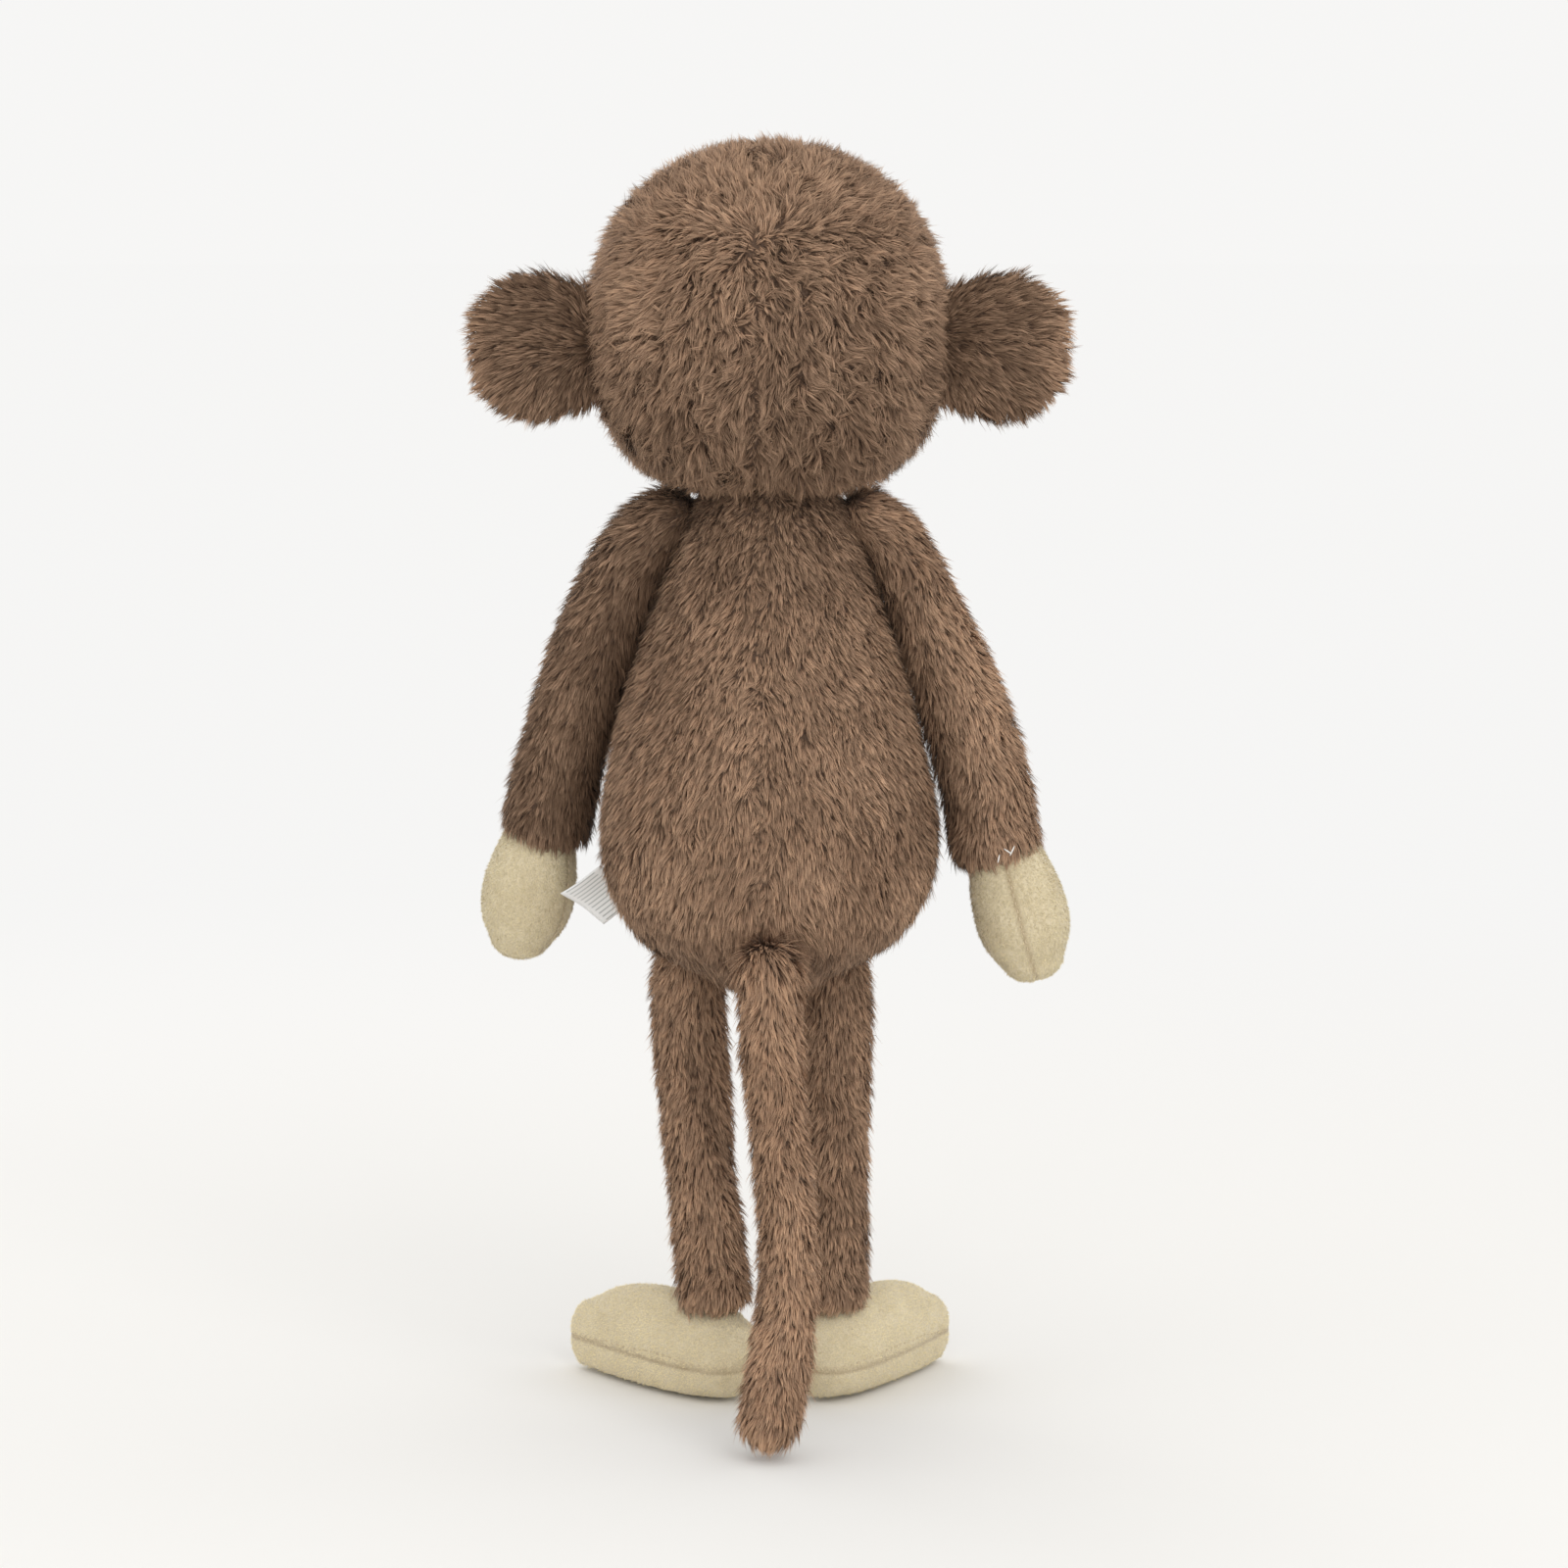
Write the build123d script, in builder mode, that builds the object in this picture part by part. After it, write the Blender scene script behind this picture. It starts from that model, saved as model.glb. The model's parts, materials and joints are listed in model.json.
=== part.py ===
from build123d import *
from math import asin, cos, degrees, pi, radians, sin, sqrt, tan
import os

os.makedirs("parts", exist_ok=True)

# A sewn and stuffed monkey, standing on its feet and its tail. Millimetres, +Z up, the
# face towards -Y and its own left hand towards +X. The origin is on the floor.

# Cloth, thread and gaps
pile = 5  # fur panel of the body and head: backing cloth and pile together
limb_pile = 4  # the same on the limbs
velour = 2  # short-nap panel of the hands and feet
slack = 0.3  # between a panel and the stuffing inside it
seam = 0.3  # between two panels that are sewn together
clearance = 0.4  # between pieces that move on each other
thread_r = 0.6
anchor_r = 3  # knot of thread that ties a limb to the body

# Body: a pear, round in plan
belly_r = 55
belly_z = 193  # level where the body is widest
belly_drop = 48  # from that level down to the seat
flank_r = 150  # radius of the flank as seen from the side
flank_lean = 18  # slope of the straight side above the flank, in degrees
shoulder_z = 300
side_seam_y = -4  # plane where the back panels meet the belly panel
pellet_bag_r = 26
pellet_bag_z = 178
pellet_cloth = 1

# Stitches that close the middle of the back
stitch_count = 7
stitch_low = 245
stitch_pitch = 7
stitch_width = 4

# Care label, sewn into the left side seam
label_width = 20
label_length = 27
label_thick = 0.6
label_turn = 35
label_place = Plane(origin=(58.8, -1.5, 176), x_dir=(-0.35, 0.93, 0), z_dir=(0.93, 0.35, 0.15))

# Neck and head
neck_r = 22
neck_point = Vector(0, 0, 307)
head_z = 372
head_arcs = ((74, 25), (42, 45), (80, 20))  # radius and degrees, from a pole to the widest level
ear_seam_y = 4  # plane where the back head panels meet the front one

# Face
mask_depth = 2  # the velour face lies this far under the tips of the fur
brow_r = 19
brow_x = 16
brow_z = 383
cheek_half_width = 35
cheek_half_height = 29
cheek_z = 353
muzzle_point = Vector(0, -58, 349)
muzzle_half_width = 31
muzzle_r = 22.5
eye_r = 6
eye_x = 16
eye_z = 379
shank_r = 1.6
shank_length = 10
washer_r = 7
washer_thick = 1.4
washer_depth = 4.4
nose_half_width = 8
nose_half_height = 5
nose_thick = 4
nose_round = 2
nose_lift = 25  # angle of the nose above the front of the muzzle
mouth_drop = 8
mouth_spread = 50  # degrees of each curved end

# Ears: each layer's front and back faces, and how far its rim lies inside the ear's
ear_r = 26.5
ear_reach = 101  # from the middle of the head to the ear's rim
ear_z = 361
ear_hinge_x = 63.5
ear_layers = {"back": (2.8, 7.0, 0), "batting": (1.4, 2.5, 4), "lining": (-1.6, 1.1, 1.5)}
ear_rim = 1.2

# Arms and hands
shoulder_r = 10.5
shoulder_level = 290  # where the arm is sewn to the body
arm_lean = 20.3  # out from the vertical, in degrees
arm_length = 108  # from the shoulder's pivot to the wrist's
cuff_r = 14
arm_forward = {"left": 12.5, "right": 0}
hand_lean = 13  # out from the vertical, less than the arm
wrist_r = 11.5
hand_length = 47
hand_r = 15.5
hand_seam_turn = {"left": 55, "right": 0}  # from straight behind, towards the body

# Legs and feet
hip_r = 14
hip_x = 24
hip_y = -16
ankle_r = 13.5
ankle_x = {"left": 18.5, "right": 21}
ankle_y = -10
ankle_z = 27
heel_r = 16
toe_r = 22
foot_reach = 38  # from the middle of the heel to the middle of the toes
foot_level = 12.5
foot_splay = {"left": 48, "right": 33}
foot_seam_z = 17
hem_r = 17
hem_drop = 1

# Tail
tail_root_r = 11
tail_tip_r = 11.5
tail_root_z = 163

outward = {"left": 1, "right": -1}


def head_size():
    """Half the head's width and half its height, from its arcs."""
    turn, width, height = 0, 0, 0
    for radius, size in head_arcs:
        first, last = radians(turn), radians(turn + size)
        width += radius * (sin(last) - sin(first))
        height += radius * (cos(first) - cos(last))
        turn += size
    return width, height


head_r, head_rise = head_size()

# Places that follow from the dimensions


def flank(level):
    """Radius of the body and slope of its side at a level on the straight part."""
    lean = radians(flank_lean)
    start_z = belly_z + flank_r * sin(lean)
    start_r = belly_r - flank_r * (1 - cos(lean))
    return start_r - (level - start_z) * tan(lean), lean


def seat_normal(angle):
    """Outward normal of the rounded seat, angle down from its widest level."""
    return Vector(cos(angle) / belly_r, 0, -sin(angle) / belly_drop).normalized()


def shoulder(side):
    """Pivot of the arm and the body's outward normal under it."""
    radius, lean = flank(shoulder_level)
    normal = Vector(outward[side] * cos(lean), 0, sin(lean))
    skin = Vector(outward[side] * radius, 0, shoulder_level)
    return skin + normal * (shoulder_r + clearance), normal


def hanging(side, lean):
    """Unit vector down and outward, swung forward about the shoulder seam with the arm."""
    down = Vector(outward[side] * sin(radians(lean)), 0, -cos(radians(lean)))
    seam_normal = Axis((0, 0, 0), shoulder(side)[1])
    return down.rotate(seam_normal, -outward[side] * arm_forward[side])


def arm_direction(side):
    """Unit vector down the arm."""
    return hanging(side, arm_lean)


def hand_direction(side):
    """Unit vector down the hand."""
    return hanging(side, hand_lean)


def wrist(side):
    """Pivot of the hand, at the end of the sleeve."""
    return shoulder(side)[0] + arm_direction(side) * arm_length


def hip(side):
    """Pivot of the leg, its round top just clear of the seat."""
    gap = hip_r + clearance
    reach = sqrt(hip_x**2 + hip_y**2)
    low, high = 0, pi / 2
    for _ in range(40):
        angle = (low + high) / 2
        if belly_r * cos(angle) + gap * seat_normal(angle).X > reach:
            low = angle
        else:
            high = angle
    level = belly_z - belly_drop * sin(angle) + gap * seat_normal(angle).Z
    return Vector(outward[side] * hip_x, hip_y, level)


def ankle(side):
    """Pivot of the foot, over the heel."""
    return Vector(outward[side] * ankle_x[side], ankle_y, ankle_z)


def foot_direction(side):
    """Unit vector from the heel to the toes."""
    splay = radians(foot_splay[side])
    return Vector(outward[side] * sin(splay), -cos(splay), 0)


def nose_place():
    """Plane just over the front of the muzzle, looking outward, that the nose lies on."""
    lift = radians(nose_lift)
    ahead = Vector(0, -cos(lift), sin(lift))
    return Plane(origin=muzzle_point + ahead * (muzzle_r + slack), x_dir=(1, 0, 0), z_dir=ahead)


def front_reach():
    """Distance from the origin to the front of the nose."""
    lift = radians(nose_lift)
    ahead = (muzzle_r + slack + nose_thick - nose_round) * cos(lift)
    return ahead - muzzle_point.Y + (nose_half_height - nose_round) * sin(lift) + nose_round


def tail_root():
    """Pivot of the tail, its round root just clear of the seat."""
    angle = asin((belly_z - tail_root_z) / belly_drop)
    normal = seat_normal(angle)
    normal = Vector(0, normal.X, normal.Z)
    return Vector(0, belly_r * cos(angle), tail_root_z) + normal * (tail_root_r + clearance)


def tail_tip():
    """Middle of the tail's round tip, which reaches as far back as the nose does forward."""
    return Vector(0, front_reach() - tail_tip_r, tail_tip_r)


def eye_place(side):
    """Plane on the face under an eye, looking outward."""
    radius = head_r - mask_depth
    across = outward[side] * eye_x
    ahead = -sqrt(radius**2 - eye_x**2)
    return Plane(origin=(across, ahead, eye_z), x_dir=(0, 0, 1), z_dir=(across, ahead, 0))


# Closed forms that the panels and the stuffing are cut from


def pear(inset):
    """The body, its surface moved inward by inset."""
    top_z = shoulder_z - inset
    with BuildPart() as form:
        with BuildSketch(Plane.XZ):
            with BuildLine():
                seat = EllipticalCenterArc(
                    (0, belly_z), belly_r - inset, belly_drop - inset, -90, arc_size=90
                )
                waist = JernArc(seat @ 1, (0, 1), flank_r - inset, flank_lean)
                rise = top_z - (waist @ 1).Y
                side = Line(waist @ 1, waist @ 1 + Vector(-rise * tan(radians(flank_lean)), rise))
                top = Line(side @ 1, (0, top_z))
                Line(top @ 1, seat @ 0)
            make_face()
        revolve(axis=Axis.Z)
    return form.part


def skull(inset):
    """The head, its surface moved inward by inset."""
    with BuildPart() as form:
        with BuildSketch(Plane.XZ):
            with BuildLine():
                bottom = (0, head_z - head_rise + inset)
                start, tangent = bottom, (1, 0)
                for radius, size in head_arcs + head_arcs[::-1]:
                    arc = JernArc(start, tangent, radius - inset, size)
                    start, tangent = arc @ 1, arc % 1
                Line(start, bottom)
            make_face()
        revolve(axis=Axis.Z)
    return form.part


def along(start, direction):
    """Plane whose Y runs along direction, for an outline that is revolved about it."""
    across = Vector(0, 1, 0).cross(direction).normalized()
    return Plane(origin=start, x_dir=across, z_dir=across.cross(direction))


def limb(start, end, start_r, end_r, inset):
    """A tapering limb with a round end about each point, moved inward by inset."""
    span = (end - start).length
    direction = (end - start).normalized()
    turn = degrees(asin((start_r - end_r) / span))
    with BuildPart() as form:
        with BuildSketch(along(start, direction)):
            with BuildLine():
                first = CenterArc((0, 0), start_r - inset, -90, 90 + turn)
                last = CenterArc((0, span), end_r - inset, turn, 90 - turn)
                Line(first @ 1, last @ 0)
                Line(last @ 1, first @ 0)
            make_face()
        revolve(axis=Axis(start, direction))
    return form.part


def ball(point, radius):
    """A sphere about a point."""
    with BuildPart() as form:
        with Locations(point):
            Sphere(radius)
    return form.part


def muzzle(inset):
    """The muzzle, its surface moved inward by inset."""
    reach = Vector(muzzle_half_width - muzzle_r, 0, 0)
    return limb(muzzle_point - reach, muzzle_point + reach, muzzle_r, muzzle_r, inset)


def mask(grow):
    """Block in front of the head, of the outline of the velour face."""
    with BuildPart() as form:
        with BuildSketch(Plane.XZ.offset(head_r / 4)):
            with Locations((brow_x, brow_z), (-brow_x, brow_z)):
                Circle(brow_r + grow)
            with Locations((0, cheek_z)):
                Ellipse(cheek_half_width + grow, cheek_half_height + grow)
        extrude(amount=head_r)
    return form.part


def hand(side, inset):
    """A mitten hand: a ball in the cuff, a waist, and a round mitt."""
    direction = hand_direction(side)
    with BuildPart() as form:
        with BuildSketch(along(wrist(side), direction)):
            with BuildLine():
                root = CenterArc((0, 0), wrist_r - inset, -90, 120)
                mitt = Spline(
                    root @ 1,
                    (0.88 * hand_r - inset, 0.2 * hand_length),
                    (hand_r - inset, 0.45 * hand_length),
                    (0.75 * hand_r - inset, 0.82 * hand_length),
                    (0, hand_length - inset),
                )
                Line(mitt @ 1, root @ 0)
            make_face()
        revolve(axis=Axis(wrist(side), direction))
    return form.part


def kept(form, plane, keep):
    """What a plane leaves of a form on one side."""
    with BuildPart() as piece:
        add(form)
        split(bisect_by=plane, keep=keep)
    return piece.part


def foot(side, inset):
    """A slipper foot, flat underneath, open at the top for the leg."""
    point = ankle(side)
    heel = Vector(point.X, point.Y, foot_level)
    toes = heel + foot_direction(side) * foot_reach
    slipper = kept(limb(heel, toes, heel_r, toe_r, inset), Plane.XY.offset(inset), Keep.TOP)
    with BuildPart() as form:
        add(slipper)
        with Locations(point):
            Sphere(ankle_r + clearance, mode=Mode.SUBTRACT)
        with Locations(point - Vector(0, 0, hem_drop)):
            Cylinder(
                hem_r, 2 * toe_r, align=(Align.CENTER, Align.CENTER, Align.MIN), mode=Mode.SUBTRACT
            )
    return form.part


def hollow(outer, *cuts):
    """A form with others cut out of it."""
    with BuildPart() as piece:
        add(outer)
        for cut in cuts:
            add(cut, mode=Mode.SUBTRACT)
    return piece.part


def write(piece, name):
    """Label a finished piece and write it."""
    piece.part.label = name
    export_step(piece.part, f"parts/{name}.step")


def across_y(level):
    """Upright plane across the toy at this Y, whose top side is in front of it."""
    return Plane.XZ.offset(-level)


left_half = (Plane.YZ.offset(seam / 2), Keep.TOP)
right_half = (Plane.YZ.offset(-seam / 2), Keep.BOTTOM)


# Body: two back panels, a belly panel, stuffing, and a bag of pellets in the seat

neck_socket = ball(neck_point, neck_r + clearance)
body_cover = hollow(pear(0), pear(pile), neck_socket)
body_back = kept(body_cover, across_y(side_seam_y + seam / 2), Keep.BOTTOM)
bag_point = Vector(0, 0, pellet_bag_z)
bag_inside = ball(bag_point, pellet_bag_r - pellet_cloth)
bag_hollow = ball(bag_point, pellet_bag_r + slack)

for name, (plane, keep) in {"body_back_left": left_half, "body_back_right": right_half}.items():
    with BuildPart() as back_panel:
        add(body_back)
        split(bisect_by=plane, keep=keep)
    write(back_panel, name)

with BuildPart() as belly_panel:
    add(body_cover)
    split(bisect_by=across_y(side_seam_y - seam / 2), keep=Keep.TOP)
write(belly_panel, "body_belly")

body_filling = pear(pile + slack)
with BuildPart() as body_stuffing:
    add(body_filling)
    add(neck_socket, mode=Mode.SUBTRACT)
    add(bag_hollow, mode=Mode.SUBTRACT)
write(body_stuffing, "body_stuffing")

with BuildPart() as pellet_bag:
    with Locations(bag_point):
        Sphere(pellet_bag_r)
    add(bag_inside, mode=Mode.SUBTRACT)
write(pellet_bag, "pellet_bag")

with BuildPart() as pellet_fill:
    with Locations(bag_point):
        Sphere(pellet_bag_r - pellet_cloth - slack)
write(pellet_fill, "pellet_fill")

with BuildPart() as back_stitches:
    for step in range(stitch_count):
        level = stitch_low + step * stitch_pitch
        radius, lean = flank(level)
        rise = Vector(0, cos(lean), sin(lean))
        place = Vector(0, radius, level) + rise * (thread_r + slack)
        with Locations(Plane(origin=place, x_dir=rise, z_dir=(1, 0, 0))):
            Cylinder(thread_r, stitch_width)
write(back_stitches, "back_closing_stitches")

with BuildPart() as care_label:
    with BuildSketch(label_place):
        RectangleRounded(label_width, label_length, 1, rotation=label_turn)
    extrude(amount=label_thick / 2, both=True)
write(care_label, "care_label")


# Neck: a firm ball of stuffing that the head nods and turns on

with BuildPart() as neck_stuffing:
    with Locations(neck_point):
        Sphere(neck_r)
write(neck_stuffing, "neck_stuffing")


# Head: two back panels, a front panel, a velour face and stuffing

head_cover = hollow(skull(0), skull(pile), neck_socket)
head_back = kept(head_cover, across_y(ear_seam_y + seam / 2), Keep.BOTTOM)
for name, (plane, keep) in {"head_back_left": left_half, "head_back_right": right_half}.items():
    with BuildPart() as head_panel:
        add(head_back)
        split(bisect_by=plane, keep=keep)
    write(head_panel, name)

mask_opening = mask(seam / 2)
with BuildPart() as head_front:
    add(head_cover)
    split(bisect_by=across_y(ear_seam_y - seam / 2), keep=Keep.TOP)
    add(mask_opening, mode=Mode.SUBTRACT)
write(head_front, "head_front")

face_cover = hollow(skull(mask_depth), skull(pile))
face_block = mask(-seam / 2)
with BuildPart() as face_panel:
    add(face_cover)
    add(face_block, mode=Mode.INTERSECT)
    for side in outward:
        with Locations(eye_place(side)):
            Cylinder(shank_r + slack / 2, 2 * pile, mode=Mode.SUBTRACT)
write(face_panel, "face_panel")

head_filling = skull(pile + slack)
with BuildPart() as head_stuffing:
    add(head_filling)
    add(neck_socket, mode=Mode.SUBTRACT)
    for side in outward:
        with Locations(eye_place(side)):
            Cylinder(washer_r + slack, 2 * (washer_depth + washer_thick), mode=Mode.SUBTRACT)
            Cylinder(shank_r + slack, 2 * (shank_length + slack), mode=Mode.SUBTRACT)
write(head_stuffing, "head_stuffing")

for side in outward:
    with BuildPart(eye_place(side)) as eye:
        with Locations((0, 0, slack)):
            Sphere(eye_r, arc_size1=0, align=(Align.CENTER, Align.CENTER, Align.MIN))
            Cylinder(
                shank_r, shank_length + 2 * slack, align=(Align.CENTER, Align.CENTER, Align.MAX)
            )
    write(eye, f"eye_{side}")

    with BuildPart(eye_place(side)) as eye_washer:
        with Locations((0, 0, -washer_depth)):
            Cylinder(washer_r, washer_thick, align=(Align.CENTER, Align.CENTER, Align.MAX))
            Cylinder(shank_r + slack / 3, 4 * washer_thick, mode=Mode.SUBTRACT)
    write(eye_washer, f"eye_washer_{side}")

# Muzzle, nose and mouth, on the front of the velour face

face_front = skull(mask_depth - slack)
muzzle_outside = muzzle(0)
muzzle_inside = muzzle(velour)
with BuildPart() as muzzle_cover:
    add(muzzle_outside)
    add(muzzle_inside, mode=Mode.SUBTRACT)
    add(face_front, mode=Mode.SUBTRACT)
write(muzzle_cover, "muzzle_cover")

muzzle_filling = muzzle(velour + slack)
with BuildPart() as muzzle_stuffing:
    add(muzzle_filling)
    add(face_front, mode=Mode.SUBTRACT)
write(muzzle_stuffing, "muzzle_stuffing")

with BuildPart() as nose:
    with BuildSketch(nose_place()):
        Ellipse(nose_half_width, nose_half_height)
    extrude(amount=nose_thick)
    fillet(nose.faces().filter_by(GeomType.PLANE).sort_by(Axis.Y)[0].edges(), nose_round)
write(nose, "nose")

mouth_r = sqrt(muzzle_r**2 - mouth_drop**2) + thread_r + slack
mouth_end = muzzle_half_width - muzzle_r
with BuildPart() as mouth_stitch:
    with BuildLine(Plane.XY.offset(muzzle_point.Z - mouth_drop)) as mouth_path:
        CenterArc((-mouth_end, muzzle_point.Y), mouth_r, -90 - mouth_spread, mouth_spread)
        Line((-mouth_end, muzzle_point.Y - mouth_r), (mouth_end, muzzle_point.Y - mouth_r))
        CenterArc((mouth_end, muzzle_point.Y), mouth_r, -90, mouth_spread)
    with BuildSketch(mouth_path.line ^ 0):
        Circle(thread_r)
    sweep(path=mouth_path.line)
write(mouth_stitch, "mouth_stitch")


# Ears: a fur back, a thin batting and a velour lining, hinged along the head's seam

for side, sign in outward.items():
    for layer, (front_y, back_y, inset) in ear_layers.items():
        with BuildPart() as ear:
            with BuildSketch(across_y(back_y)):
                with Locations((sign * (ear_reach - ear_r), ear_z)):
                    Circle(ear_r - inset)
                with Locations((sign * (ear_hinge_x - ear_r), ear_z)):
                    Rectangle(2 * ear_r, 2 * ear_r, mode=Mode.SUBTRACT)
            extrude(amount=back_y - front_y)
            if layer == "back":
                fillet(ear.faces().sort_by(Axis.Y)[-1].edges().filter_by(GeomType.CIRCLE), ear_rim)
        write(ear, f"ear_{side}_{layer}")


# Arms and hands

for side, sign in outward.items():
    pivot = shoulder(side)[0]
    cuff = wrist(side)
    cuff_plane = Plane(origin=cuff, z_dir=arm_direction(side))
    arm_inside = limb(pivot, cuff, shoulder_r, cuff_r, limb_pile)
    arm_outside = limb(pivot, cuff, shoulder_r, cuff_r, 0)
    arm_filling = limb(pivot, cuff, shoulder_r, cuff_r, limb_pile + slack)
    wrist_socket = ball(cuff, wrist_r + clearance)
    anchor_socket = ball(pivot, anchor_r + clearance)

    with BuildPart() as arm_sleeve:
        add(arm_outside)
        add(arm_inside, mode=Mode.SUBTRACT)
        add(wrist_socket, mode=Mode.SUBTRACT)
        split(bisect_by=cuff_plane, keep=Keep.BOTTOM)
    write(arm_sleeve, f"arm_{side}_sleeve")

    with BuildPart() as arm_stuffing:
        add(arm_filling)
        add(wrist_socket, mode=Mode.SUBTRACT)
        add(anchor_socket, mode=Mode.SUBTRACT)
        split(bisect_by=cuff_plane, keep=Keep.BOTTOM)
    write(arm_stuffing, f"arm_{side}_stuffing")

    with BuildPart() as arm_anchor:
        with Locations(pivot):
            Sphere(anchor_r)
    write(arm_anchor, f"arm_{side}_anchor_stitches")

    # The hand's seam runs down it in a plane through the arm, and parts it in two panels
    hand_cover = hollow(hand(side, 0), hand(side, velour))
    turned = Vector(sign, 0, 0).rotate(Axis.Z, sign * hand_seam_turn[side])
    down = hand_direction(side)
    hand_plane = Plane(origin=cuff, x_dir=down, z_dir=turned - down * turned.dot(down))
    for name, shift, keep in (("back", seam / 2, Keep.TOP), ("palm", -seam / 2, Keep.BOTTOM)):
        with BuildPart() as hand_panel:
            add(hand_cover)
            split(bisect_by=hand_plane.offset(shift), keep=keep)
        write(hand_panel, f"hand_{side}_{name}")

    hand_filling = hand(side, velour + slack)
    with BuildPart() as hand_stuffing:
        add(hand_filling)
    write(hand_stuffing, f"hand_{side}_stuffing")


# Legs and feet

for side in outward:
    leg_inside = limb(hip(side), ankle(side), hip_r, ankle_r, limb_pile)
    leg_outside = limb(hip(side), ankle(side), hip_r, ankle_r, 0)
    with BuildPart() as leg_sleeve:
        add(leg_outside)
        add(leg_inside, mode=Mode.SUBTRACT)
    write(leg_sleeve, f"leg_{side}_sleeve")

    leg_filling = limb(hip(side), ankle(side), hip_r, ankle_r, limb_pile + slack)
    with BuildPart() as leg_stuffing:
        add(leg_filling)
    write(leg_stuffing, f"leg_{side}_stuffing")

    foot_cover = hollow(foot(side, 0), foot(side, velour))
    for name, shift, keep in (("upper", seam / 2, Keep.TOP), ("sole", -seam / 2, Keep.BOTTOM)):
        with BuildPart() as foot_panel:
            add(foot_cover)
            split(bisect_by=Plane.XY.offset(foot_seam_z + shift), keep=keep)
        write(foot_panel, f"foot_{side}_{name}")

    foot_filling = foot(side, velour + slack)
    with BuildPart() as foot_pellets:
        add(foot_filling)
    write(foot_pellets, f"foot_{side}_pellets")


# Tail

tail_inside = limb(tail_root(), tail_tip(), tail_root_r, tail_tip_r, limb_pile)
tail_outside = limb(tail_root(), tail_tip(), tail_root_r, tail_tip_r, 0)
with BuildPart() as tail_sleeve:
    add(tail_outside)
    add(tail_inside, mode=Mode.SUBTRACT)
write(tail_sleeve, "tail_sleeve")

tail_filling = limb(tail_root(), tail_tip(), tail_root_r, tail_tip_r, limb_pile + slack)
tail_socket = ball(tail_root(), anchor_r + clearance)
with BuildPart() as tail_stuffing:
    add(tail_filling)
    add(tail_socket, mode=Mode.SUBTRACT)
write(tail_stuffing, "tail_stuffing")

with BuildPart() as tail_anchor:
    with Locations(tail_root()):
        Sphere(anchor_r)
write(tail_anchor, "tail_anchor_stitches")
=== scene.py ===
import json
import math

import bpy
import numpy as np
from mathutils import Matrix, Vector


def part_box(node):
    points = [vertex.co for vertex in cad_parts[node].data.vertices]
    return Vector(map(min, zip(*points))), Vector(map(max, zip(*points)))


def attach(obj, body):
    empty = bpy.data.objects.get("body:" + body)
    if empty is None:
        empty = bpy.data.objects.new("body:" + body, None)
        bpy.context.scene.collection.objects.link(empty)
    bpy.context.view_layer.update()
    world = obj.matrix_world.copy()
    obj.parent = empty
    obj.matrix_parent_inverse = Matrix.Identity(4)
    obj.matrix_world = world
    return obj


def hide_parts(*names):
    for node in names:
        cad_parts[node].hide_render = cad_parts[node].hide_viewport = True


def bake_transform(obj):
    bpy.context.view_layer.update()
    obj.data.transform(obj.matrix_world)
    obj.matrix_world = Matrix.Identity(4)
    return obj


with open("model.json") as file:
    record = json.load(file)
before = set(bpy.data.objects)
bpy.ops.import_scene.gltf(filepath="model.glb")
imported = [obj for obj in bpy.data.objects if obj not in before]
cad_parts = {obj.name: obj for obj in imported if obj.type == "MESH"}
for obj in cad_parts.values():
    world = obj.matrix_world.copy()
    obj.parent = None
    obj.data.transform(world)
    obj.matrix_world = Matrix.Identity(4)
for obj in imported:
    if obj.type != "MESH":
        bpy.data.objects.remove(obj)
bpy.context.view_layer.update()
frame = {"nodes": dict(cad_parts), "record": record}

# The looks of a sewn and stuffed monkey. Sizes are written in millimetres and scaled by MM.
MM = 0.001
SIDES = {"left": 1, "right": -1}
UP = np.array([0.0, 0.0, 1.0])
DOWN = -UP

joint_place = {j["name"]: np.array(j["pos_m"]) for j in frame["record"]["behaviour"]["joints"]}


def place(x, y, z):
    """A point given in millimetres."""
    return np.array([x, y, z], float) * MM


def unit(vectors):
    """Each vector at length 1."""
    return vectors / np.maximum(np.linalg.norm(vectors, axis=-1, keepdims=True), 1e-12)


# Camera, lights and floor


def aim(made, target):
    """Turns a camera or a lamp toward a point, and puts it in the scene."""
    made.rotation_euler = (Vector(target) - made.location).to_track_quat("-Z", "Y").to_euler()
    bpy.context.collection.objects.link(made)


def make_camera():
    """A long lens behind the toy, a little above its middle."""
    camera = bpy.data.objects.new("camera", bpy.data.cameras.new("camera"))
    camera.data.sensor_width = 36
    camera.data.lens = 109
    middle = Vector((-0.005, 0, 0.214))
    rise = math.radians(7)
    camera.location = middle + Vector((0, math.cos(rise), math.sin(rise))) * 1.6
    aim(camera, middle)
    bpy.context.scene.camera = camera


def make_lamp(name, location, size, power):
    """A soft square lamp that looks at the toy."""
    lamp = bpy.data.objects.new(name, bpy.data.lights.new(name, "AREA"))
    lamp.data.size = size
    lamp.data.energy = power
    lamp.location = location
    aim(lamp, (0, 0, 0.2))


STUDIO_WHITE = (0.965, 0.96, 0.95, 1)


def constants(node, values):
    """Sets a node's own sockets by name."""
    for name, value in values.items():
        node.inputs[name].default_value = value


def make_world():
    """An even white studio."""
    world = bpy.data.worlds.new("studio")
    world.use_nodes = True
    background = world.node_tree.nodes["Background"]
    constants(background, {"Color": STUDIO_WHITE, "Strength": 0.96})
    bpy.context.scene.world = world


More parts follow.
